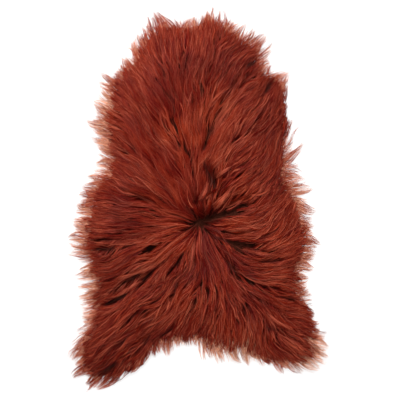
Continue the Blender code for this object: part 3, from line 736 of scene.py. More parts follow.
class Lie:
    """The fleece's top, rim and combing, as maps over the floor."""

    def __init__(self):
        low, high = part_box("fleece")
        self.low = np.array(low[:2]) - GRID_MARGIN
        self.count = ((np.array(high[:2]) + GRID_MARGIN - self.low) / GRID_STEP).astype(int) + 1
        x = self.low[0] + np.arange(self.count[0]) * GRID_STEP
        y = self.low[1] + np.arange(self.count[1]) * GRID_STEP
        self.places = np.stack(np.meshgrid(x, y, indexing="ij"), -1)
        top = self.ray_heights("fleece")
        inside = top > 0
        self.rim = self.rim_distance(inside)
        self.hide_rim = self.rim_distance(self.ray_heights("hide") > 0)
        self.parting = self.partings()
        self.brushed = self.brushing()
        self.dye_and_painted_light = self.paint_dye_and_light()
        self.height = self.smooth_top(inside, top)
        heading = self.headings()
        self.flow = self.parted(np.stack([np.cos(heading), np.sin(heading)], -1))
        self.read_fringe()

    def ray_heights(self, node):
        """The CAD node's height at each place, or 0 past its rim."""
        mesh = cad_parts[node].data
        tree = BVHTree.FromPolygons([v.co for v in mesh.vertices], [p.vertices for p in mesh.polygons])
        down, start = Vector((0, 0, -1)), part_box(node)[1].z + RAY_START
        found = np.zeros(self.places.shape[:2])
        for i, j in np.ndindex(found.shape):
            x, y = self.places[i, j]
            hit = tree.ray_cast(Vector((x, y, start)), down)[0]
            if hit is not None:
                found[i, j] = hit.z
        return found

    def rim_distance(self, inside):
        """How far inside this rim each place is, and less than 0 outside it."""
        edge = inside & ~(np.roll(inside, 1, 0) & np.roll(inside, -1, 0)
            & np.roll(inside, 1, 1) & np.roll(inside, -1, 1))
        nearest = np.full(inside.shape, np.inf)
        for point in self.places[edge]:
            nearest = np.minimum(nearest, ((self.places - point) ** 2).sum(-1))
        return blurred(np.sqrt(nearest) * np.where(inside, 1, -1) + GRID_STEP / 2, RIM_BLUR)

    def smooth_top(self, inside, top):
        """The fleece's height, carried on a little past the rim and dipped in the partings."""
        share = blurred(inside.astype(float), TOP_BLUR)
        near = blurred(np.where(inside, top, 0.0), TOP_BLUR) / np.maximum(share, LEAST_SHARE)
        smooth = blurred(np.where(share > NEAR_SHARE, near, THINNEST), TOP_EDGE_BLUR)
        return np.maximum(smooth - PARTING_DEPTH * self.parting, THINNEST)

    def weights(self, table, reach):
        """Share that each row of the table has in each place, nearer rows more."""
        far = np.stack([((self.places - (row.x, row.y)) ** 2).sum(-1) for row in table], -1)
        share = np.exp(-(far - far.min(-1, keepdims=True)) / (2 * reach**2))
        return share / share.sum(-1, keepdims=True)

    def near(self, row):
        """How near each place is to this row's, from 1 there down to 0 well past its radius."""
        off = ((self.places - (row.x, row.y)) ** 2).sum(-1)
        return np.exp(-off / (2 * row.radius**2))

    def brushing(self):
        """How far the locks are brushed out at each place, or drawn together below 0."""
        amounts = np.stack([row.brushed * self.near(row) for row in rows(PATCH_COLUMNS, PATCHES)])
        return np.maximum(amounts.max(0), 0) + np.minimum(amounts.min(0), 0)

    def paint_dye_and_light(self):
        """How much paler the wool is at each place, or darker below 0: partly uneven dye, partly
        painted light and shade.
        """
        dye_and_painted_light = DYE_AND_LIGHT_CLOUDS * swell(self.places, "dye_and_painted_light") + DYE_AND_LIGHT_FINE_CLOUDS * swell(self.places, "fine_dye_and_light")
        dye_and_painted_light += DYE_AND_LIGHT_BRUSHED_CLOUDS * self.brushed * swell(self.places, "brushed_dye_and_light")
        for row in rows(PATCH_COLUMNS, PATCHES):
            dye_and_painted_light += row.dye_and_painted_light * self.near(row)
        return dye_and_painted_light

    def headings(self):
        """Which way the hair lies at each place, in radians."""
        table = rows(COMB_COLUMNS, COMB)
        away = self.places - WHORL
        far = np.linalg.norm(away, axis=-1)
        share = self.weights(table, np.clip(COMB_REACH_SHARE * far, *COMB_REACH)[..., None])
        radial = [math.atan2(row.y - WHORL[1], row.x - WHORL[0]) for row in table]
        turns = np.array([math.radians(row.heading) - r for row, r in zip(table, radial)])
        turns = (turns + math.pi) % TAU - math.pi
        sway = math.radians(COMB_SWAY) * swell(self.places, "sway")
        sway = sway * smooth_step(far, *COMB_SWAY_FROM)
        return np.arctan2(away[..., 1], away[..., 0]) + share @ turns + sway

    def parted(self, flow):
        """The lie of the hair, bent away from the partings."""
        push = np.stack(np.gradient(blurred(self.parting, PARTING_BLUR), GRID_STEP), -1)
        push = -PARTING_PUSH * push
        push = push - flow * (push * flow).sum(-1, keepdims=True)
        size = np.linalg.norm(push, axis=-1, keepdims=True)
        return unit(flow + push * np.minimum(1, PARTING_BEND / np.maximum(size, TINY)))

    def read_fringe(self):
        """Lays out the fringe's measures over the floor."""
        table = rows(FRINGE_COLUMNS, FRINGE)
        share = self.weights(table, FRINGE_REACH)
        self.bare = share @ np.array([row.bare for row in table])
        self.reach = share @ np.array([row.reach for row in table])
        self.curl = np.radians(share @ np.array([row.curl for row in table]))
        self.pale = share @ np.array([row.pale for row in table])
        headings = np.radians([row.heading for row in table])
        self.outward = unit(share @ np.stack([np.cos(headings), np.sin(headings)], -1))

    def partings(self):
        """How far each place is in a parting, from 0 to 1."""
        dark = np.zeros(self.places.shape[:2])
        for row in rows(PARTING_COLUMNS, PARTINGS):
            start = np.array((row.x, row.y))
            run = np.array((row.to_x, row.to_y)) - start
            t = np.clip((self.places - start) @ run / (run @ run), 0, 1)
            off = ((self.places - start - t[..., None] * run) ** 2).sum(-1)
            thin = row.half_width * (PARTING_ENDS + 2 * (1 - PARTING_ENDS) * np.sqrt(t * (1 - t)))
            dark = np.maximum(dark, row.dark * np.exp(-off / (2 * thin**2)))
        return dark

    def read(self, grid, points):
        """The map's values at these points."""
        at = (points[..., :2] - self.low) / GRID_STEP
        at = np.clip(at, 0, self.count - LAST_CELL)
        cell = at.astype(int)
        t = at - cell
        i, j = cell[..., 0], cell[..., 1]
        tx, ty = t[..., 0], t[..., 1]
        if grid.ndim == 3:
            tx, ty = tx[..., None], ty[..., None]
        near = grid[i, j] * (1 - tx) + grid[i + 1, j] * tx
        far = grid[i, j + 1] * (1 - tx) + grid[i + 1, j + 1] * tx
        return near * (1 - ty) + far * ty

    def slope(self, grid, points):
        """How fast the map rises towards +X and +Y at these points."""
        flat = points[..., :2]
        step = SLOPE_STEP * GRID_STEP
        rises = [self.read(grid, flat + shift) - self.read(grid, flat - shift)
            for shift in (np.array((step, 0.0)), np.array((0.0, step)))]
        return np.stack(rises, -1) / (2 * step)

    def normals(self, points):
        """The way out of the fleece's top at these points."""
        slope = self.slope(self.height, points)
        return unit(np.concatenate([-slope, np.ones_like(slope[..., :1])], -1))


@functools.lru_cache(maxsize=1)
def lie():
    """The fleece's maps, worked out once."""
    return Lie()


def combed_paths(roots, length, flow_map, wave, wave_length, phase, curl=0.0, lean=0.0):
    """Flat paths from the roots along the lie of the hair, swinging to each side as a wave."""
    ground = lie()
    step = length / (LOCK_NODES - 1)
    path = [roots]
    for k in range(LOCK_NODES - 1):
        here = path[-1]
        flow = unit(ground.read(flow_map, here))
        swing = lean + wave * np.cos(TAU * k * step / wave_length + phase)
        swing = swing + curl * (k / LOCK_NODES) ** LATE_CURL
        path.append(here + turned(flow, swing) * step[:, None])
    return np.stack(path, 1)


def resampled(path, shares):
    """Points of each path at these shares of it."""
    nodes = path.shape[1]
    at = np.clip(shares * (nodes - 1), 0, nodes - LAST_STRETCH)
    cell = at.astype(int)
    t = (at - cell)[..., None]
    each = np.arange(len(path))[:, None]
    return path[each, cell] * (1 - t) + path[each, cell + 1] * t


def cut_at_rim(path, length, limit):
    """Paths shortened to where they pass this far inside the rim, with the same number of points."""
    ground = lie()
    inside = ground.read(ground.rim, path) - limit
    nodes = path.shape[1]
    past = inside < 0
    past[:, :2] = False
    first = np.where(past.any(1), past.argmax(1), nodes - 1)
    each = np.arange(len(path))
    before, after = inside[each, first - 1], inside[each, first]
    part = np.where(past.any(1), np.clip(before / np.maximum(before - after, TINY), 0, 1), 1.0)
    end = (first - 1 + part) / (nodes - 1)
    return resampled(path, end[:, None] * np.linspace(0, 1, nodes)), length * end


def hex_points(spacing, jitter, chance):
    """Uneven points all over the rug's box."""
    low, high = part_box("fleece")
    step = spacing * math.sqrt(3) / 2
    j, i = np.mgrid[0:int((high.y - low.y) / step) + 1, 0:int((high.x - low.x) / spacing) + 1]
    points = np.stack([low.x + (i + 0.5 * (j % 2)) * spacing, low.y + j * step], -1).reshape(-1, 2)
    return points + chance.uniform(-jitter, jitter, points.shape) * spacing


def like_tufts(roots, tufts):
    """The tuft of each root: one near it whose hair lies the same way."""
    ground = lie()
    flow, tuft_flow = ground.read(ground.flow, roots), ground.read(ground.flow, tufts)
    own = []
    for root, way in zip(roots, flow):
        far = np.linalg.norm(tufts - root, axis=-1)
        own.append((far + TUFTS.across * (1 - tuft_flow @ way)).argmin())
    return np.array(own)


def tufted_paths(roots, length, kind, pile, chance):
    """Paths of locks that draw together into tufts towards their tips, and the tuft of each."""
    ground = lie()
    tufts = hex_points(pile.clump_spacing, TUFTS.jitter, chance)
    tufts = tufts[ground.read(ground.rim, tufts) > TUFTS.inside]
    phase = chance.uniform(0, TAU, len(tufts))
    wave = np.radians(chance.uniform(*kind.waves, len(tufts)))
    wave_length = chance.uniform(*kind.wave_lengths, len(tufts))
    lean = np.radians(chance.normal(0, TUFTS.lean, len(tufts)))
    hook = np.radians(chance.normal(0, TUFTS.hook, len(tufts)))
    own = like_tufts(roots, tufts)
    shift = chance.normal(0, TUFTS.shift, len(roots))
    apart = np.radians(chance.normal(0, TUFTS.apart, len(roots)))
    swing = (ground.flow, wave[own], wave_length[own])
    path = combed_paths(roots, length, *swing, phase[own] + shift, hook[own], lean[own] + apart)
    core = combed_paths(tufts[own], length, *swing, phase[own], hook[own], lean[own])
    t = np.linspace(0, 1, LOCK_NODES)[None, :, None]
    pull = pile.clump_pull * chance.uniform(*TUFTS.pulls, len(tufts))[own][:, None, None]
    pull = pull * (1 - BRUSHING.unclumped * ground.read(ground.brushed, roots))[:, None, None]
    return path + (core - path) * pull * t**TUFTS.late, own


def ribbon_mesh(name, centre, up, width, roll, shade, tone):
    """One mesh of flat tapering strands. Its map holds each strand's shade and tone."""
    count, rings = centre.shape[:2]
    along = unit(np.gradient(centre, axis=1))
    side = unit(np.cross(along, up))
    lift = np.cross(side, along)
    across = side * np.cos(roll)[..., None] + lift * np.sin(roll)[..., None]
    half = across * width[..., None] / 2
    pairs = np.stack([centre - half, centre + half], 2)[:, :-1].reshape(count, -1, 3)
    verts = np.concatenate([pairs, centre[:, -1:]], 1)
    per = verts.shape[1]
    quads = np.array([(2 * k, 2 * k + 1, 2 * k + 3, 2 * k + 2) for k in range(rings - 2)])
    last = np.array([(per - 3, per - 2, per - 1)])
    corners = np.concatenate([quads.ravel(), last.ravel()])
    loops = (np.arange(count)[:, None] * per + corners).ravel()
    sizes = np.tile(np.array([4] * (rings - 2) + [3]), count)
    starts = np.concatenate([[0], np.cumsum(sizes)[:-1]])
    mesh = bpy.data.meshes.new(name)
    mesh.vertices.add(count * per)
    mesh.vertices.foreach_set("co", verts.astype(np.float32).ravel())
    mesh.loops.add(len(loops))
    mesh.loops.foreach_set("vertex_index", loops.astype(np.int32))
    mesh.polygons.add(len(sizes))
    mesh.polygons.foreach_set("loop_start", starts.astype(np.int32))
    mesh.polygons.foreach_set("loop_total", sizes.astype(np.int32))
    mesh.polygons.foreach_set("use_smooth", np.ones(len(sizes), bool))
    mesh.update(calc_edges=True)
    chart = mesh.uv_layers.new(name="OFBake")
    edge = np.concatenate([np.tile((-1.0, 1.0), rings - 1), [0.0]])
    u = np.concatenate([np.repeat(shade[:, :-1], 2, axis=1), shade[:, -1:]], 1)
    v = tone[:, None] + CHART_EDGE * edge
    places = np.stack([u, v], -1).reshape(-1, 2)[loops]
    chart.uv.foreach_set("vector", places.astype(np.float32).ravel())
    made = bpy.data.objects.new(name, mesh)
    bpy.context.scene.collection.objects.link(made)
    return made


def strands_of(locks, kind, chance):
    """Centres, ups, widths, rolls, shades and tones of the strands of these locks."""
    ground = lie()
    per, bundles = kind.strands, kind.bundles
    locks_count = len(locks.path)
    each = np.repeat(np.arange(locks_count), per)
    bundle = each * bundles + np.tile(np.arange(per) % bundles, locks_count)
    count, bundle_count = len(each), locks_count * bundles

    def bundled(values):
        return values[bundle]

    brushed = kind.brushes * ground.read(ground.brushed, locks.path[:, LOCK_NODES // 2])[each]
    length, lift = locks.length[each], locks.lift[each] * (1 - BRUSHING.lower * brushed)
    size = locks.size[each] * (1 + BRUSHING.wider * brushed)

    # Where along the lock each strand starts and ends
    far = np.linalg.norm(locks.path[:, 0] - WHORL, axis=-1)[each]
    start = chance.uniform(*STRANDS.starts, count)
    start = start + kind.covered * smooth_step(far, *STRANDS.covered_from)
    end = 1 - kind.ends * bundled(chance.uniform(0, 1, bundle_count)) ** STRANDS.early
    end = end - STRANDS.ends * chance.uniform(0, 1, count)
    along = np.linspace(0, 1, kind.rings)
    t = start[:, None] + (end - start)[:, None] * along
    flat = resampled(locks.path[each], t)

    # Where across the lock it lies, and how it sways and strays
    kept_to = bundled(chance.uniform(-1, 1, bundle_count)) * (1 - brushed)
    kept_to = kept_to + brushed * chance.uniform(-1, 1, count)
    across = np.clip(STRANDS.keep * kept_to + chance.normal(0, STRANDS.across, count), -1, 1)
    high = np.sqrt(1 - across**2) * bundled(chance.uniform(*STRANDS.heights, bundle_count))
    high = high * chance.uniform(*STRANDS.own_heights, count)
    taper = 1 - kind.point * t**2
    taper = taper * (kind.foot + (1 - kind.foot) * smooth_step(t, 0.0, STRANDS.full))
    stray = chance.uniform(0, 1, count) < kind.stray
    wander, keeping = chance.normal(0, kind.wander, count), chance.normal(0, STRANDS.close, count)
    loose = np.where(stray, wander, keeping)
    loose = loose * (1 - BRUSHING.neater * np.abs(brushed))
    loose = loose + bundled(chance.normal(0, kind.apart, bundle_count))
    ripple_length = chance.uniform(*STRANDS.ripple_lengths, count)[:, None]
    ripple = TAU * t * length[:, None] / ripple_length + chance.uniform(0, TAU, count)[:, None]
    ripple = np.sin(ripple) * chance.uniform(*STRANDS.ripples, count)[:, None]
    flow = unit(np.gradient(flat, axis=1))
    aside = np.stack([flow[..., 1], -flow[..., 0]], -1)
    shift = (across * size * kind.width / 2)[:, None] * taper + loose[:, None] * t**2 + ripple
    flat = flat + aside * shift[..., None]

    # How high it lies
    normal = ground.normals(flat)
    buried = 1 - kind.buried * (1 - t) ** STRANDS.shallow
    arch = np.sin(np.pi * np.clip(t, 0, 1)) ** STRANDS.arch
    z = ground.read(ground.height, flat) * buried + lift[:, None] * arch
    rim = ground.read(ground.rim, flat)
    thick = (high * size * kind.depth * (1 - BRUSHING.flatter * brushed))[:, None] * taper
    thick = thick * smooth_step(rim, *STRANDS.deep_from)
    rise = np.where(stray, np.abs(chance.normal(0, STRANDS.rise, count)), 0.0)[:, None] * t
    centre = np.concatenate([flat, z[..., None]], -1) + normal * (thick + rise)[..., None]
    lowest = kind.lowest + STRANDS.uneven_lowest * chance.uniform(0, 1, count)[:, None]
    centre[..., 2] = np.clip(centre[..., 2], lowest, HIGHEST)

    # How wide it is, and how it is turned
    width = kind.hair * chance.uniform(*STRANDS.widths, count)[:, None]
    width = width * np.interp(along, STRAND_AT, STRAND_WIDTHS)
    width = np.where(stray[:, None], width * STRANDS.stray_width, width)
    roll = across * STRANDS.roll * (1 - brushed)
    roll = roll + bundled(chance.normal(0, STRANDS.rolls, bundle_count))
    roll = roll + chance.normal(0, STRANDS.own_rolls, count)
    roll = np.radians(roll)[:, None] * np.ones(kind.rings)

    # Its shade along it, with painted shade from its root, its depth in the lock and the partings,
    # painted glints, and its tone
    dark = smooth_step(ground.read(ground.parting, flat), *STRANDS.parted)
    dark = dark * smooth_step(rim, *STRANDS.parted_inside)
    # Dark at the root, partly as painted shade deep in the pile, and paler towards the tip
    shade = kind.deep + (kind.pale - kind.deep) * t**kind.grade + locks.shade[each][:, None]
    # Painted shade: strands low in a lock are darker and high ones lighter
    own = STRANDS.painted_lock_shade * (high - 0.5) + chance.normal(0, STRANDS.shades, count)
    shade = shade + (own * (1 - BRUSHING.evener * brushed))[:, None]
    # Painted glints: lightness that rises and falls along the lock's waves, standing for the light they
    # catch
    glint_length = bundled(chance.uniform(*STRANDS.glint_lengths, bundle_count))[:, None]
    glint = TAU * t * length[:, None] / glint_length
    glint_shift = bundled(chance.uniform(0, TAU, bundle_count))
    glint_shift = glint_shift + chance.normal(0, STRANDS.glint_shifts, count)
    glint = STRANDS.glint * np.sin(glint + glint_shift[:, None])
    shade = shade + glint * (1 - BRUSHING.duller * brushed)[:, None]
    # Uneven dye together with painted light and shade, by place
    shade = shade + STRANDS.dye_and_painted_light * ground.read(ground.dye_and_painted_light, flat) * smooth_step(t, 0.0, STRANDS.dye_from)
    # Painted shade: strands are darker where they cross a parting
    shade = shade * (1 - kind.shaded * dark)
    tone = bundled(chance.normal(0, kind.uneven, bundle_count)) * (1 - BRUSHING.same_tones * brushed)
    tone = locks.tone[each] + tone
    tone = tone + chance.normal(0, STRANDS.tones, count) * (1 - BRUSHING.same_own_tones * brushed)
    shade, tone = np.clip(shade, DARKEST, kind.palest), np.clip(tone, *TONES)

    left_out = chance.uniform(0, 1, count) < STRANDS.left_out * kind.shaded
    left_out = left_out & (dark.max(1) > STRANDS.left_out_from)
    return tuple(values[~left_out] for values in (centre, normal, width, roll, shade, tone))


def split_locks(locks, pick):
    """Some of the locks."""
    return SimpleNamespace(**{name: values[pick] for name, values in vars(locks).items()})


def coat_locks(pile, chance):
    """The coat's long locks, all over the hide."""
    ground, kind = lie(), kind_of("coat")
    roots = hex_points(pile.lock_spacing, COAT.jitter, chance)
    depth = ground.read(ground.rim, roots)
    roots = roots[depth > COAT.inside + chance.uniform(*COAT.ragged, len(roots))]
    fine = hex_points(COAT.crown_spacing * pile.lock_spacing, COAT.jitter, chance)
    roots = np.concatenate([roots, fine[np.linalg.norm(fine - WHORL, axis=-1) < COAT.crown_reach]])
    count = len(roots)
    length = pile.lock_length * chance.uniform(*COAT.lengths, count)
    path, tuft = tufted_paths(roots, length, kind, pile, chance)
    tufts = tuft.max() + 1
    bare = ground.read(ground.bare, path) * chance.uniform(*COAT.ends, tufts)[tuft][:, None]
    path, length = cut_at_rim(path, length, bare + chance.uniform(*COAT.uneven_ends, (count, 1)))
    size = chance.uniform(*kind.sizes, count) * np.clip(length / pile.lock_length, *COAT.short_sizes)
    tone = kind.tone + chance.normal(0, kind.tones, count)
    tone = tone + chance.normal(0, COAT.tuft_tones, tufts)[tuft]
    lift = chance.normal(0, COAT.lifts, count) + chance.normal(0, COAT.lifts, tufts)[tuft]
    locks = SimpleNamespace(path=path, length=length, size=size, lift=lift, tone=tone,
        shade=np.zeros(count))
    return split_locks(locks, length > COAT.shortest)


def skirt_locks(pile, chance):
    """Shorter locks that fill the rim under the coat."""
    ground, kind = lie(), kind_of("skirt")
    roots = hex_points(pile.skirt_spacing, SKIRT.jitter, chance)
    roots = roots[between(ground.read(ground.rim, roots), SKIRT.inside)]
    count = len(roots)
    length = np.full(count, SKIRT.length)
    blend = unit(ground.flow + SKIRT.outward * ground.outward)
    path = combed_paths(roots, length, blend, np.radians(chance.uniform(*kind.waves, count)),
        chance.uniform(*kind.wave_lengths, count), chance.uniform(0, TAU, count))
    bare = ground.read(ground.bare, path)
    path, length = cut_at_rim(path, length, bare * chance.uniform(*SKIRT.ends, (count, 1)))
    return SimpleNamespace(path=path, length=length, size=chance.uniform(*kind.sizes, count),
        lift=chance.uniform(*kind.lifts, count), tone=kind.tone + chance.normal(0, kind.tones, count),
        shade=np.zeros(count))


def guard_hairs(pile, chance):
    """Long single hairs that lie over the coat."""
    ground, kind = lie(), kind_of("guard")
    roots = hex_points(pile.guard_spacing, GUARD.jitter, chance)
    roots = roots[ground.read(ground.rim, roots) > GUARD.inside]
    count = len(roots)
    length = pile.lock_length * chance.uniform(*GUARD.lengths, count)
    path = combed_paths(roots, length, ground.flow, np.radians(chance.uniform(*kind.waves, count)),
        chance.uniform(*kind.wave_lengths, count), chance.uniform(0, TAU, count))
    path, length = cut_at_rim(path, length, chance.uniform(*GUARD.ends, (count, 1)))
    tone = kind.tone + chance.normal(0, kind.tones, count)
    return SimpleNamespace(path=path, length=length, size=np.ones(count),
        lift=chance.uniform(*kind.lifts, count), tone=tone, shade=np.zeros(count))


def outward_paths(roots, past, kind, chance):
    """Paths from the roots to this far past the rim, and their lengths."""
    ground = lie()
    count = len(roots)
    length = np.full(count, WISPS.length)
    wave = np.radians(chance.uniform(*kind.waves, count))
    curl = ground.read(ground.curl, roots) * chance.normal(0, 1, count)
    curl = curl + chance.normal(0, WISPS.curls, count)
    path = combed_paths(roots, length, ground.outward, wave, chance.uniform(*kind.wave_lengths, count),
        chance.uniform(0, TAU, count), curl)
    return cut_at_rim(path, length, -past[:, None])


def between(values, limits):
    """Which of the values lie between the limits."""
    least, most = limits
    return (values > least) & (values < most)


def by_the_rim(points, inside):
    """Those of the points that are this far inside the ends of the long locks."""
    ground = lie()
    depth = ground.read(ground.rim, points) - ground.read(ground.bare, points)
    return points[between(depth, inside)]


def veil_wisps(pile, chance):
    """Thin hair from under the coat, which fades out evenly towards the rim."""
    ground, kind = lie(), kind_of("veil")
    roots = by_the_rim(hex_points(pile.veil_spacing, WISPS.jitter, chance), VEIL.inside)
    share = np.clip(1 + VEIL.by_pale * ground.read(ground.pale, roots), VEIL.sparsest, 1)
    roots = roots[chance.uniform(0, 1, len(roots)) < share]
    count = len(roots)
    reach = ground.read(ground.reach, roots)
    band = np.maximum(reach + ground.read(ground.bare, roots), VEIL.narrowest)
    past = reach - band * chance.uniform(*VEIL.ends, count)
    path, length = outward_paths(roots, past, kind, chance)
    # Their shade follows the fringe's paleness, which is partly painted light
    locks = SimpleNamespace(path=path, length=length, size=chance.uniform(*kind.sizes, count),
        lift=chance.uniform(*kind.lifts, count), tone=kind.tone + chance.normal(0, kind.tones, count),
        shade=ground.read(ground.pale, roots))
    return split_locks(locks, between(length, WISPS.kept))


def fringe_wisps(pile, chance):
    """Wisps that draw together into pointed tufts at the rim."""
    ground, kind = lie(), kind_of("fringe")
    tufts = by_the_rim(hex_points(pile.tuft_spacing, RIM_TUFTS.jitter, chance), RIM_TUFTS.inside)
    past = ground.read(ground.reach, tufts) + chance.uniform(*RIM_TUFTS.ends, len(tufts))
    core, core_length = outward_paths(tufts, past, kind, chance)
    roots = hex_points(pile.fringe_spacing, WISPS.jitter, chance)
    roots = by_the_rim(roots, RIM_TUFTS.roots_inside)
    count = len(roots)
    own = np.array([((tufts - root) ** 2).sum(-1).argmin() for root in roots])
    t = np.linspace(0, 1, LOCK_NODES)[None, :, None]
    kept = 1 - chance.uniform(*RIM_TUFTS.pulls, count)[:, None, None] * t**2
    path = core[own] + (roots - tufts[own])[:, None] * kept
    tone = kind.tone + chance.normal(0, RIM_TUFTS.tones, len(tufts))[own]
    tone = tone + chance.normal(0, kind.tones, count)
    # Their shade follows the fringe's paleness, which is partly painted light
    locks = SimpleNamespace(path=path, length=core_length[own], size=chance.uniform(*kind.sizes, count),
        lift=chance.uniform(*kind.lifts, count), tone=tone, shade=ground.read(ground.pale, roots))
    return split_locks(locks, between(locks.length, WISPS.kept))


def loose_locks():
    """The locks that lie apart, along a bow from root to tip."""
    table = rows(LOOSE_COLUMNS, LOOSE_LOCKS)
    t = np.linspace(0, 1, LOCK_NODES)[:, None]
    paths = []
    for row in table:
        start, end = np.array((row.x, row.y)), np.array((row.to_x, row.to_y))
        left = unit(np.array((start[1] - end[1], end[0] - start[0])))
        paths.append(start + (end - start) * t + left * row.bend * 4 * t * (1 - t))
    path = np.array(paths)
    return SimpleNamespace(path=path, length=np.linalg.norm(path[:, -1] - path[:, 0], axis=-1),
        size=np.array([row.width for row in table]), lift=np.array([row.high for row in table]),
        tone=np.array([row.tone for row in table]), shade=np.zeros(len(table)))


def outlined_sheet(name, rim, step):
    """A flat grid, trimmed to where this rim map is above 0. Returns the object, selected."""
    low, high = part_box("fleece")
    wide, deep = high.x - low.x, high.y - low.y
    bpy.ops.object.select_all(action="DESELECT")
    bpy.ops.mesh.primitive_grid_add(
        x_subdivisions=round(wide / step), y_subdivisions=round(deep / step), size=1)
    made = bpy.context.active_object
    made.name = name
    made.data.name = name
    co = points_of(made) * (wide, deep, 1)
    set_points(made, co)
    ground = lie()
    select_points(made, ground.read(rim, co) < 0)
    bpy.ops.object.mode_set(mode="EDIT")
    bpy.ops.mesh.delete(type="VERT")
    bpy.ops.mesh.select_all(action="SELECT")
    bpy.ops.mesh.region_to_loop()
    bpy.ops.object.mode_set(mode="OBJECT")
    edge = np.zeros(len(made.data.vertices), bool)
    made.data.vertices.foreach_get("select", edge)
    co = points_of(made)
    for _ in range(EDGE_ROUNDS):
        slope = ground.slope(rim, co[edge])
        off = ground.read(rim, co[edge])
        co[edge, :2] -= slope * (off / np.maximum((slope**2).sum(-1), EDGE_LEAST))[:, None]
    set_points(made, co)
    return made


def points_of(piece):
    """Where the piece's points are."""
    co = np.empty(len(piece.data.vertices) * 3, np.float32)
    piece.data.vertices.foreach_get("co", co)
    return co.reshape(-1, 3).astype(float)


def set_points(piece, co):
    """Moves the piece's points there."""
    piece.data.vertices.foreach_set("co", co.astype(np.float32).ravel())
    piece.data.update()


def select_points(piece, chosen):
    """Selects just these points of the piece, for edit mode."""
    mesh = piece.data
    mesh.polygons.foreach_set("select", np.zeros(len(mesh.polygons), bool))
    mesh.edges.foreach_set("select", np.zeros(len(mesh.edges), bool))
    mesh.vertices.foreach_set("select", chosen)
    bpy.context.tool_settings.mesh_select_mode = (True, False, False)


def thicken(piece):
    """Closes the sheet with a second face under it, and returns which points are new."""
    before = len(piece.data.vertices)
    bpy.ops.object.mode_set(mode="EDIT")
    bpy.ops.mesh.select_all(action="SELECT")
    bpy.ops.mesh.extrude_region_move(TRANSFORM_OT_translate={"value": (0, 0, SHEET_GAP)})
    bpy.ops.mesh.select_all(action="SELECT")
    bpy.ops.mesh.normals_make_consistent(inside=False)
    bpy.ops.object.mode_set(mode="OBJECT")
    bpy.ops.object.shade_smooth()
    return np.arange(len(piece.data.vertices)) >= before


def principled(name):
    """A material of one Principled shader with its finish's values, and that shader."""
    made = bpy.data.materials.new(name)
    made.use_nodes = True
    surface = made.node_tree.nodes["Principled BSDF"]
    for socket, value in FINISHES[name].items():
        surface.inputs[socket].default_value = value
    return made, surface


def ranged(tree, source, low, high):
    """A map of a value of 0 to 1 to this range."""
    node = tree.nodes.new("ShaderNodeMapRange")
    node.inputs["To Min"].default_value = low
    node.inputs["To Max"].default_value = high
    tree.links.new(source, node.inputs["Value"])
    return node.outputs["Result"]


def wool_material(dye_and_painted_light):
    """Dyed wool by the strands' own map: dark at the root, partly as painted shade, and paler at the
    tip; the map also carries painted shade and glints.
    """
    made, surface = principled("wool_dye_and_painted_light")
    tree = made.node_tree
    chart = tree.nodes.new("ShaderNodeUVMap")
    chart.uv_map = "OFBake"
    split = tree.nodes.new("ShaderNodeSeparateXYZ")
    tree.links.new(chart.outputs["UV"], split.inputs["Vector"])
    ramp = tree.nodes.new("ShaderNodeValToRGB")
    ramp.color_ramp.elements[0].color = (*dye_and_painted_light.root, 1)
    ramp.color_ramp.elements[1].color = (*dye_and_painted_light.wisp, 1)
    for shade, colour in ((COAT_AT, dye_and_painted_light.coat), (TIP_AT, dye_and_painted_light.tip)):
        ramp.color_ramp.elements.new(shade).color = (*colour, 1)
    tree.links.new(split.outputs["X"], ramp.inputs["Fac"])
    tune = tree.nodes.new("ShaderNodeHueSaturation")
    for socket, limits in TONE_RANGES.items():
        tree.links.new(ranged(tree, split.outputs["Y"], *limits), tune.inputs[socket])
    tree.links.new(ramp.outputs["Color"], tune.inputs["Color"])
    tree.links.new(tune.outputs["Color"], surface.inputs["Base Color"])
    return made


def mottle_group():
    """The nodes that the hide and the undercoat share: clouds between two colours, and a fine nap."""
    group = bpy.data.node_groups.get("mottle")
    if group:
        return group
    group = bpy.data.node_groups.new("mottle", "ShaderNodeTree")
    for name, kind in (("Vector", "Vector"), ("Scale", "Float"), ("Dark", "Color"), ("Pale", "Color")):
        group.interface.new_socket(name, in_out="INPUT", socket_type="NodeSocket" + kind)
    for name, kind in (("Color", "Color"), ("Nap", "Float")):
        group.interface.new_socket(name, in_out="OUTPUT", socket_type="NodeSocket" + kind)
    given = group.nodes.new("NodeGroupInput")
    result = group.nodes.new("NodeGroupOutput")
    clouds = group.nodes.new("ShaderNodeTexNoise")
    clouds.inputs["Detail"].default_value = MOTTLE_DETAIL
    spread = group.nodes.new("ShaderNodeMapRange")
    spread.inputs["From Min"].default_value, spread.inputs["From Max"].default_value = MOTTLE_RANGE
    blend = group.nodes.new("ShaderNodeMix")
    blend.data_type = "RGBA"
    nap = group.nodes.new("ShaderNodeTexNoise")
    nap.inputs["Scale"].default_value = NAP_SCALE
    nap.inputs["Detail"].default_value = NAP_DETAIL
    group.links.new(given.outputs["Vector"], clouds.inputs["Vector"])
    group.links.new(given.outputs["Vector"], nap.inputs["Vector"])
    group.links.new(given.outputs["Scale"], clouds.inputs["Scale"])
    group.links.new(clouds.outputs["Fac"], spread.inputs["Value"])
    group.links.new(spread.outputs["Result"], blend.inputs[MIX_FACTOR])
    group.links.new(given.outputs["Dark"], blend.inputs[MIX_DARK])
    group.links.new(given.outputs["Pale"], blend.inputs[MIX_PALE])
    group.links.new(blend.outputs[MIX_COLOUR], result.inputs["Color"])
    group.links.new(nap.outputs["Fac"], result.inputs["Nap"])
    return group


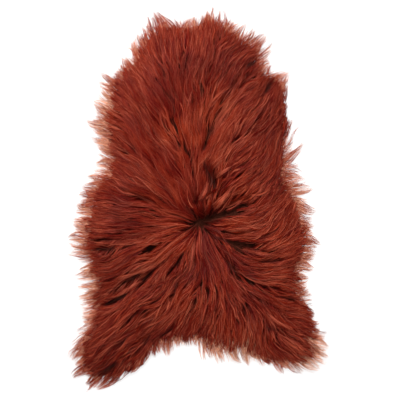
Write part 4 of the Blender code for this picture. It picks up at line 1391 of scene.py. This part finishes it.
def mottled(material, surface, colour, look):
    """Gives a material this colour, mottled and napped as this look says."""
    tree = material.node_tree
    place = tree.nodes.new("ShaderNodeTexCoord")
    mottle = tree.nodes.new("ShaderNodeGroup")
    mottle.node_tree = mottle_group()
    mottle.inputs["Scale"].default_value = 1 / look.mottle_size
    for socket, share in zip(("Dark", "Pale"), look.mottle):
        mottle.inputs[socket].default_value = (*(share * channel for channel in colour), 1)
    relief = tree.nodes.new("ShaderNodeBump")
    relief.inputs["Distance"].default_value = look.nap
    tree.links.new(place.outputs["Object"], mottle.inputs["Vector"])
    tree.links.new(mottle.outputs["Color"], surface.inputs["Base Color"])
    tree.links.new(mottle.outputs["Nap"], relief.inputs["Height"])
    tree.links.new(relief.outputs["Normal"], surface.inputs["Normal"])


def grow(context, name, kind, locks, chance):
    """Makes a piece of these locks' strands, of the wool material with its dye and painted light and
    shade, that all of them share.
    """
    wool = bpy.data.materials.get("wool_dye_and_painted_light") or wool_material(context.scene.sheepskin_dye)
    piece = ribbon_mesh(name, *strands_of(locks, kind_of(kind), chance))
    place_piece(piece, wool, "wool", "fleece")


def place_piece(piece, material, slot, *nodes):
    """Gives a finished piece its material, its body and the CAD nodes it stands for."""
    piece.data.materials.clear()
    piece.data.materials.append(material)
    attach(piece, BODY)
    if nodes:
        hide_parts(*nodes)


class SHEEPSKIN_OT_undercoat(bpy.types.Operator):
    """Fill the fleece under the locks with short, dense wool"""

    bl_idname = "sheepskin.undercoat"
    bl_label = "Grow the undercoat"

    def execute(self, context):
        scene = context.scene
        ground = lie()
        inset = MAT.inset + MAT.edge * swell(ground.places, "mat_edge")
        rim = np.maximum(ground.hide_rim - MAT.on_hide, ground.rim - MAT.bare * ground.bare - inset)
        under = outlined_sheet("undercoat", rim, MAT.step)
        below = thicken(under)
        co = points_of(under)
        depth = ground.read(ground.hide_rim, co)
        seat = MAT.clear + (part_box("hide")[1].z - MAT.sunk) * smooth_step(depth, *MAT.seat_over)
        share = scene.sheepskin_hide.undercoat * smooth_step(depth, *MAT.full_over)
        far = np.linalg.norm(co[:, :2] - WHORL, axis=-1)
        share = share * (MAT.at_whorl + (1 - MAT.at_whorl) * smooth_step(far, *MAT.whorl_over))
        top = ground.read(ground.height, co) * share
        top += MAT.tufts * swell(co, "mat_top") * smooth_step(depth, *MAT.tufts_over)
        co[:, 2] = np.where(below, seat, np.maximum(top, seat + MAT.thinnest))
        set_points(under, co)
        material, surface = principled("undercoat_wool")
        # The undercoat takes the roots' colour, dark partly as painted shade under the locks
        mottled(material, surface, scene.sheepskin_dye.root, MAT)
        place_piece(under, material, "wool", "fleece")
        return {"FINISHED"}


class SHEEPSKIN_OT_coat(bpy.types.Operator):
    """Grow the long locks of the coat and comb them down"""

    bl_idname = "sheepskin.coat"
    bl_label = "Comb the coat"

    def execute(self, context):
        chance = np.random.default_rng(SEEDS["coat"])
        locks = coat_locks(context.scene.sheepskin_pile, chance)
        root = locks.path[:, 0]
        order = np.argsort(root[:, 1] + COAT_PART_EDGES * swell(root, "coat_parts"))
        for part, pick in zip(COAT_PARTS, np.array_split(order, len(COAT_PARTS))):
            grow(context, "coat_" + part, "coat", split_locks(locks, pick), chance)
        return {"FINISHED"}


class SHEEPSKIN_OT_skirt(bpy.types.Operator):
    """Fill the rim under the coat with shorter locks"""

    bl_idname = "sheepskin.skirt"
    bl_label = "Fill the rim"

    def execute(self, context):
        chance = np.random.default_rng(SEEDS["skirt"])
        grow(context, "skirt_hair", "skirt", skirt_locks(context.scene.sheepskin_pile, chance), chance)
        return {"FINISHED"}


class SHEEPSKIN_OT_guard_hair(bpy.types.Operator):
    """Lay long single hairs over the coat"""

    bl_idname = "sheepskin.guard_hair"
    bl_label = "Lay the guard hair"

    def execute(self, context):
        chance = np.random.default_rng(SEEDS["guard"])
        grow(context, "guard_hair", "guard", guard_hairs(context.scene.sheepskin_pile, chance), chance)
        return {"FINISHED"}


class SHEEPSKIN_OT_fringe(bpy.types.Operator):
    """Grow the thin veil and the pointed tufts round the rim"""

    bl_idname = "sheepskin.fringe"
    bl_label = "Grow the fringe"

    def execute(self, context):
        pile = context.scene.sheepskin_pile
        chance = np.random.default_rng(SEEDS["fringe"])
        grow(context, "veil_hair", "veil", veil_wisps(pile, chance), chance)
        grow(context, "fringe_hair", "fringe", fringe_wisps(pile, chance), chance)
        return {"FINISHED"}


class SHEEPSKIN_OT_loose_locks(bpy.types.Operator):
    """Lay the single locks that lie apart from the rest"""

    bl_idname = "sheepskin.loose_locks"
    bl_label = "Lay the loose locks"

    def execute(self, context):
        grow(context, "loose_hair", "loose", loose_locks(), np.random.default_rng(SEEDS["loose"]))
        return {"FINISHED"}


class SHEEPSKIN_OT_hide(bpy.types.Operator):
    """Cut the suede hide that the wool grows on"""

    bl_idname = "sheepskin.hide"
    bl_label = "Cut the hide"

    def execute(self, context):
        scene = context.scene
        ground = lie()
        hide = outlined_sheet("hide_suede", ground.hide_rim, SUEDE.step)
        below = thicken(hide)
        co = points_of(hide)
        depth = ground.read(ground.hide_rim, co)
        most = scene.sheepskin_hide.cockle
        cockle = most * (0.5 + 0.5 * swell(co, "cockle")) * smooth_step(depth, *SUEDE.cockle_over)
        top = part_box("hide")[1].z
        co[:, 2] = np.where(below, np.clip(cockle, 0, 2 * most), top)
        set_points(hide, co)
        material, surface = principled("suede")
        mottled(material, surface, scene.sheepskin_dye.suede, SUEDE)
        place_piece(hide, material, "suede", "hide")
        return {"FINISHED"}


class SHEEPSKIN_OT_studio(bpy.types.Operator):
    """Set up the floor, the lights and the camera"""

    bl_idname = "sheepskin.studio"
    bl_label = "Set up the studio"

    def execute(self, context):
        studio = context.scene.sheepskin_studio
        bpy.ops.object.select_all(action="DESELECT")
        bpy.ops.mesh.primitive_plane_add(size=FLOOR_SIZE, location=(0, 0, -FLOOR_DROP))
        floor = context.active_object
        floor.name = "floor"
        paper, surface = principled("white_paper")
        surface.inputs["Emission Strength"].default_value = studio.glow
        floor.data.materials.append(paper)
        world = bpy.data.worlds.new("studio")
        context.scene.world = world
        world.use_nodes = True
        sky = world.node_tree.nodes["Background"]
        sky.inputs["Color"].default_value = (1, 1, 1, 1)
        sky.inputs["Strength"].default_value = studio.dome
        light = bpy.data.lights.new("key_light", "AREA")
        light.shape = "DISK"
        light.size = LAMP_SIZE
        light.energy = studio.key
        lamp = bpy.data.objects.new("key_light", light)
        lamp.location = LAMP_PLACE
        lamp.rotation_euler = (-lamp.location).to_track_quat("-Z", "Y").to_euler()
        context.scene.collection.objects.link(lamp)
        camera = bpy.data.objects.new("camera", bpy.data.cameras.new("camera"))
        camera.data.sensor_width = CAMERA_SENSOR
        camera.data.lens = CAMERA_SENSOR * studio.camera_height / studio.picture_width
        camera.data.clip_end = CAMERA_FARTHEST
        camera.location = (*CAMERA_PLACE, studio.camera_height)
        context.scene.collection.objects.link(camera)
        context.scene.camera = camera
        context.scene.view_settings.view_transform = "Standard"
        return {"FINISHED"}


class SHEEPSKIN_PT_panel(bpy.types.Panel):
    """The rug's steps, in order"""

    bl_label = "Sheepskin rug"
    bl_idname = "SHEEPSKIN_PT_panel"
    bl_space_type = "VIEW_3D"
    bl_region_type = "UI"
    bl_category = "Sheepskin"

    def draw(self, context):
        for step in STEPS:
            self.layout.operator(step.bl_idname)


STEPS = (SHEEPSKIN_OT_studio, SHEEPSKIN_OT_undercoat, SHEEPSKIN_OT_coat, SHEEPSKIN_OT_skirt,
    SHEEPSKIN_OT_guard_hair, SHEEPSKIN_OT_fringe, SHEEPSKIN_OT_loose_locks, SHEEPSKIN_OT_hide)
SETTINGS = {"sheepskin_pile": PileSettings, "sheepskin_hide": HideSettings,
    "sheepskin_dye": ColourSettings, "sheepskin_studio": StudioSettings}


def register():
    for kind in (*SETTINGS.values(), *STEPS, SHEEPSKIN_PT_panel):
        bpy.utils.register_class(kind)
    for name, kind in SETTINGS.items():
        setattr(bpy.types.Scene, name, PointerProperty(type=kind))


def unregister():
    for name in SETTINGS:
        delattr(bpy.types.Scene, name)
    for kind in reversed((*SETTINGS.values(), *STEPS, SHEEPSKIN_PT_panel)):
        bpy.utils.unregister_class(kind)


def main():
    register()
    bpy.ops.sheepskin.studio()
    bpy.ops.sheepskin.undercoat()
    bpy.ops.sheepskin.coat()
    bpy.ops.sheepskin.skirt()
    bpy.ops.sheepskin.guard_hair()
    bpy.ops.sheepskin.fringe()
    bpy.ops.sheepskin.loose_locks()
    bpy.ops.sheepskin.hide()


if __name__ == "__main__":
    main()
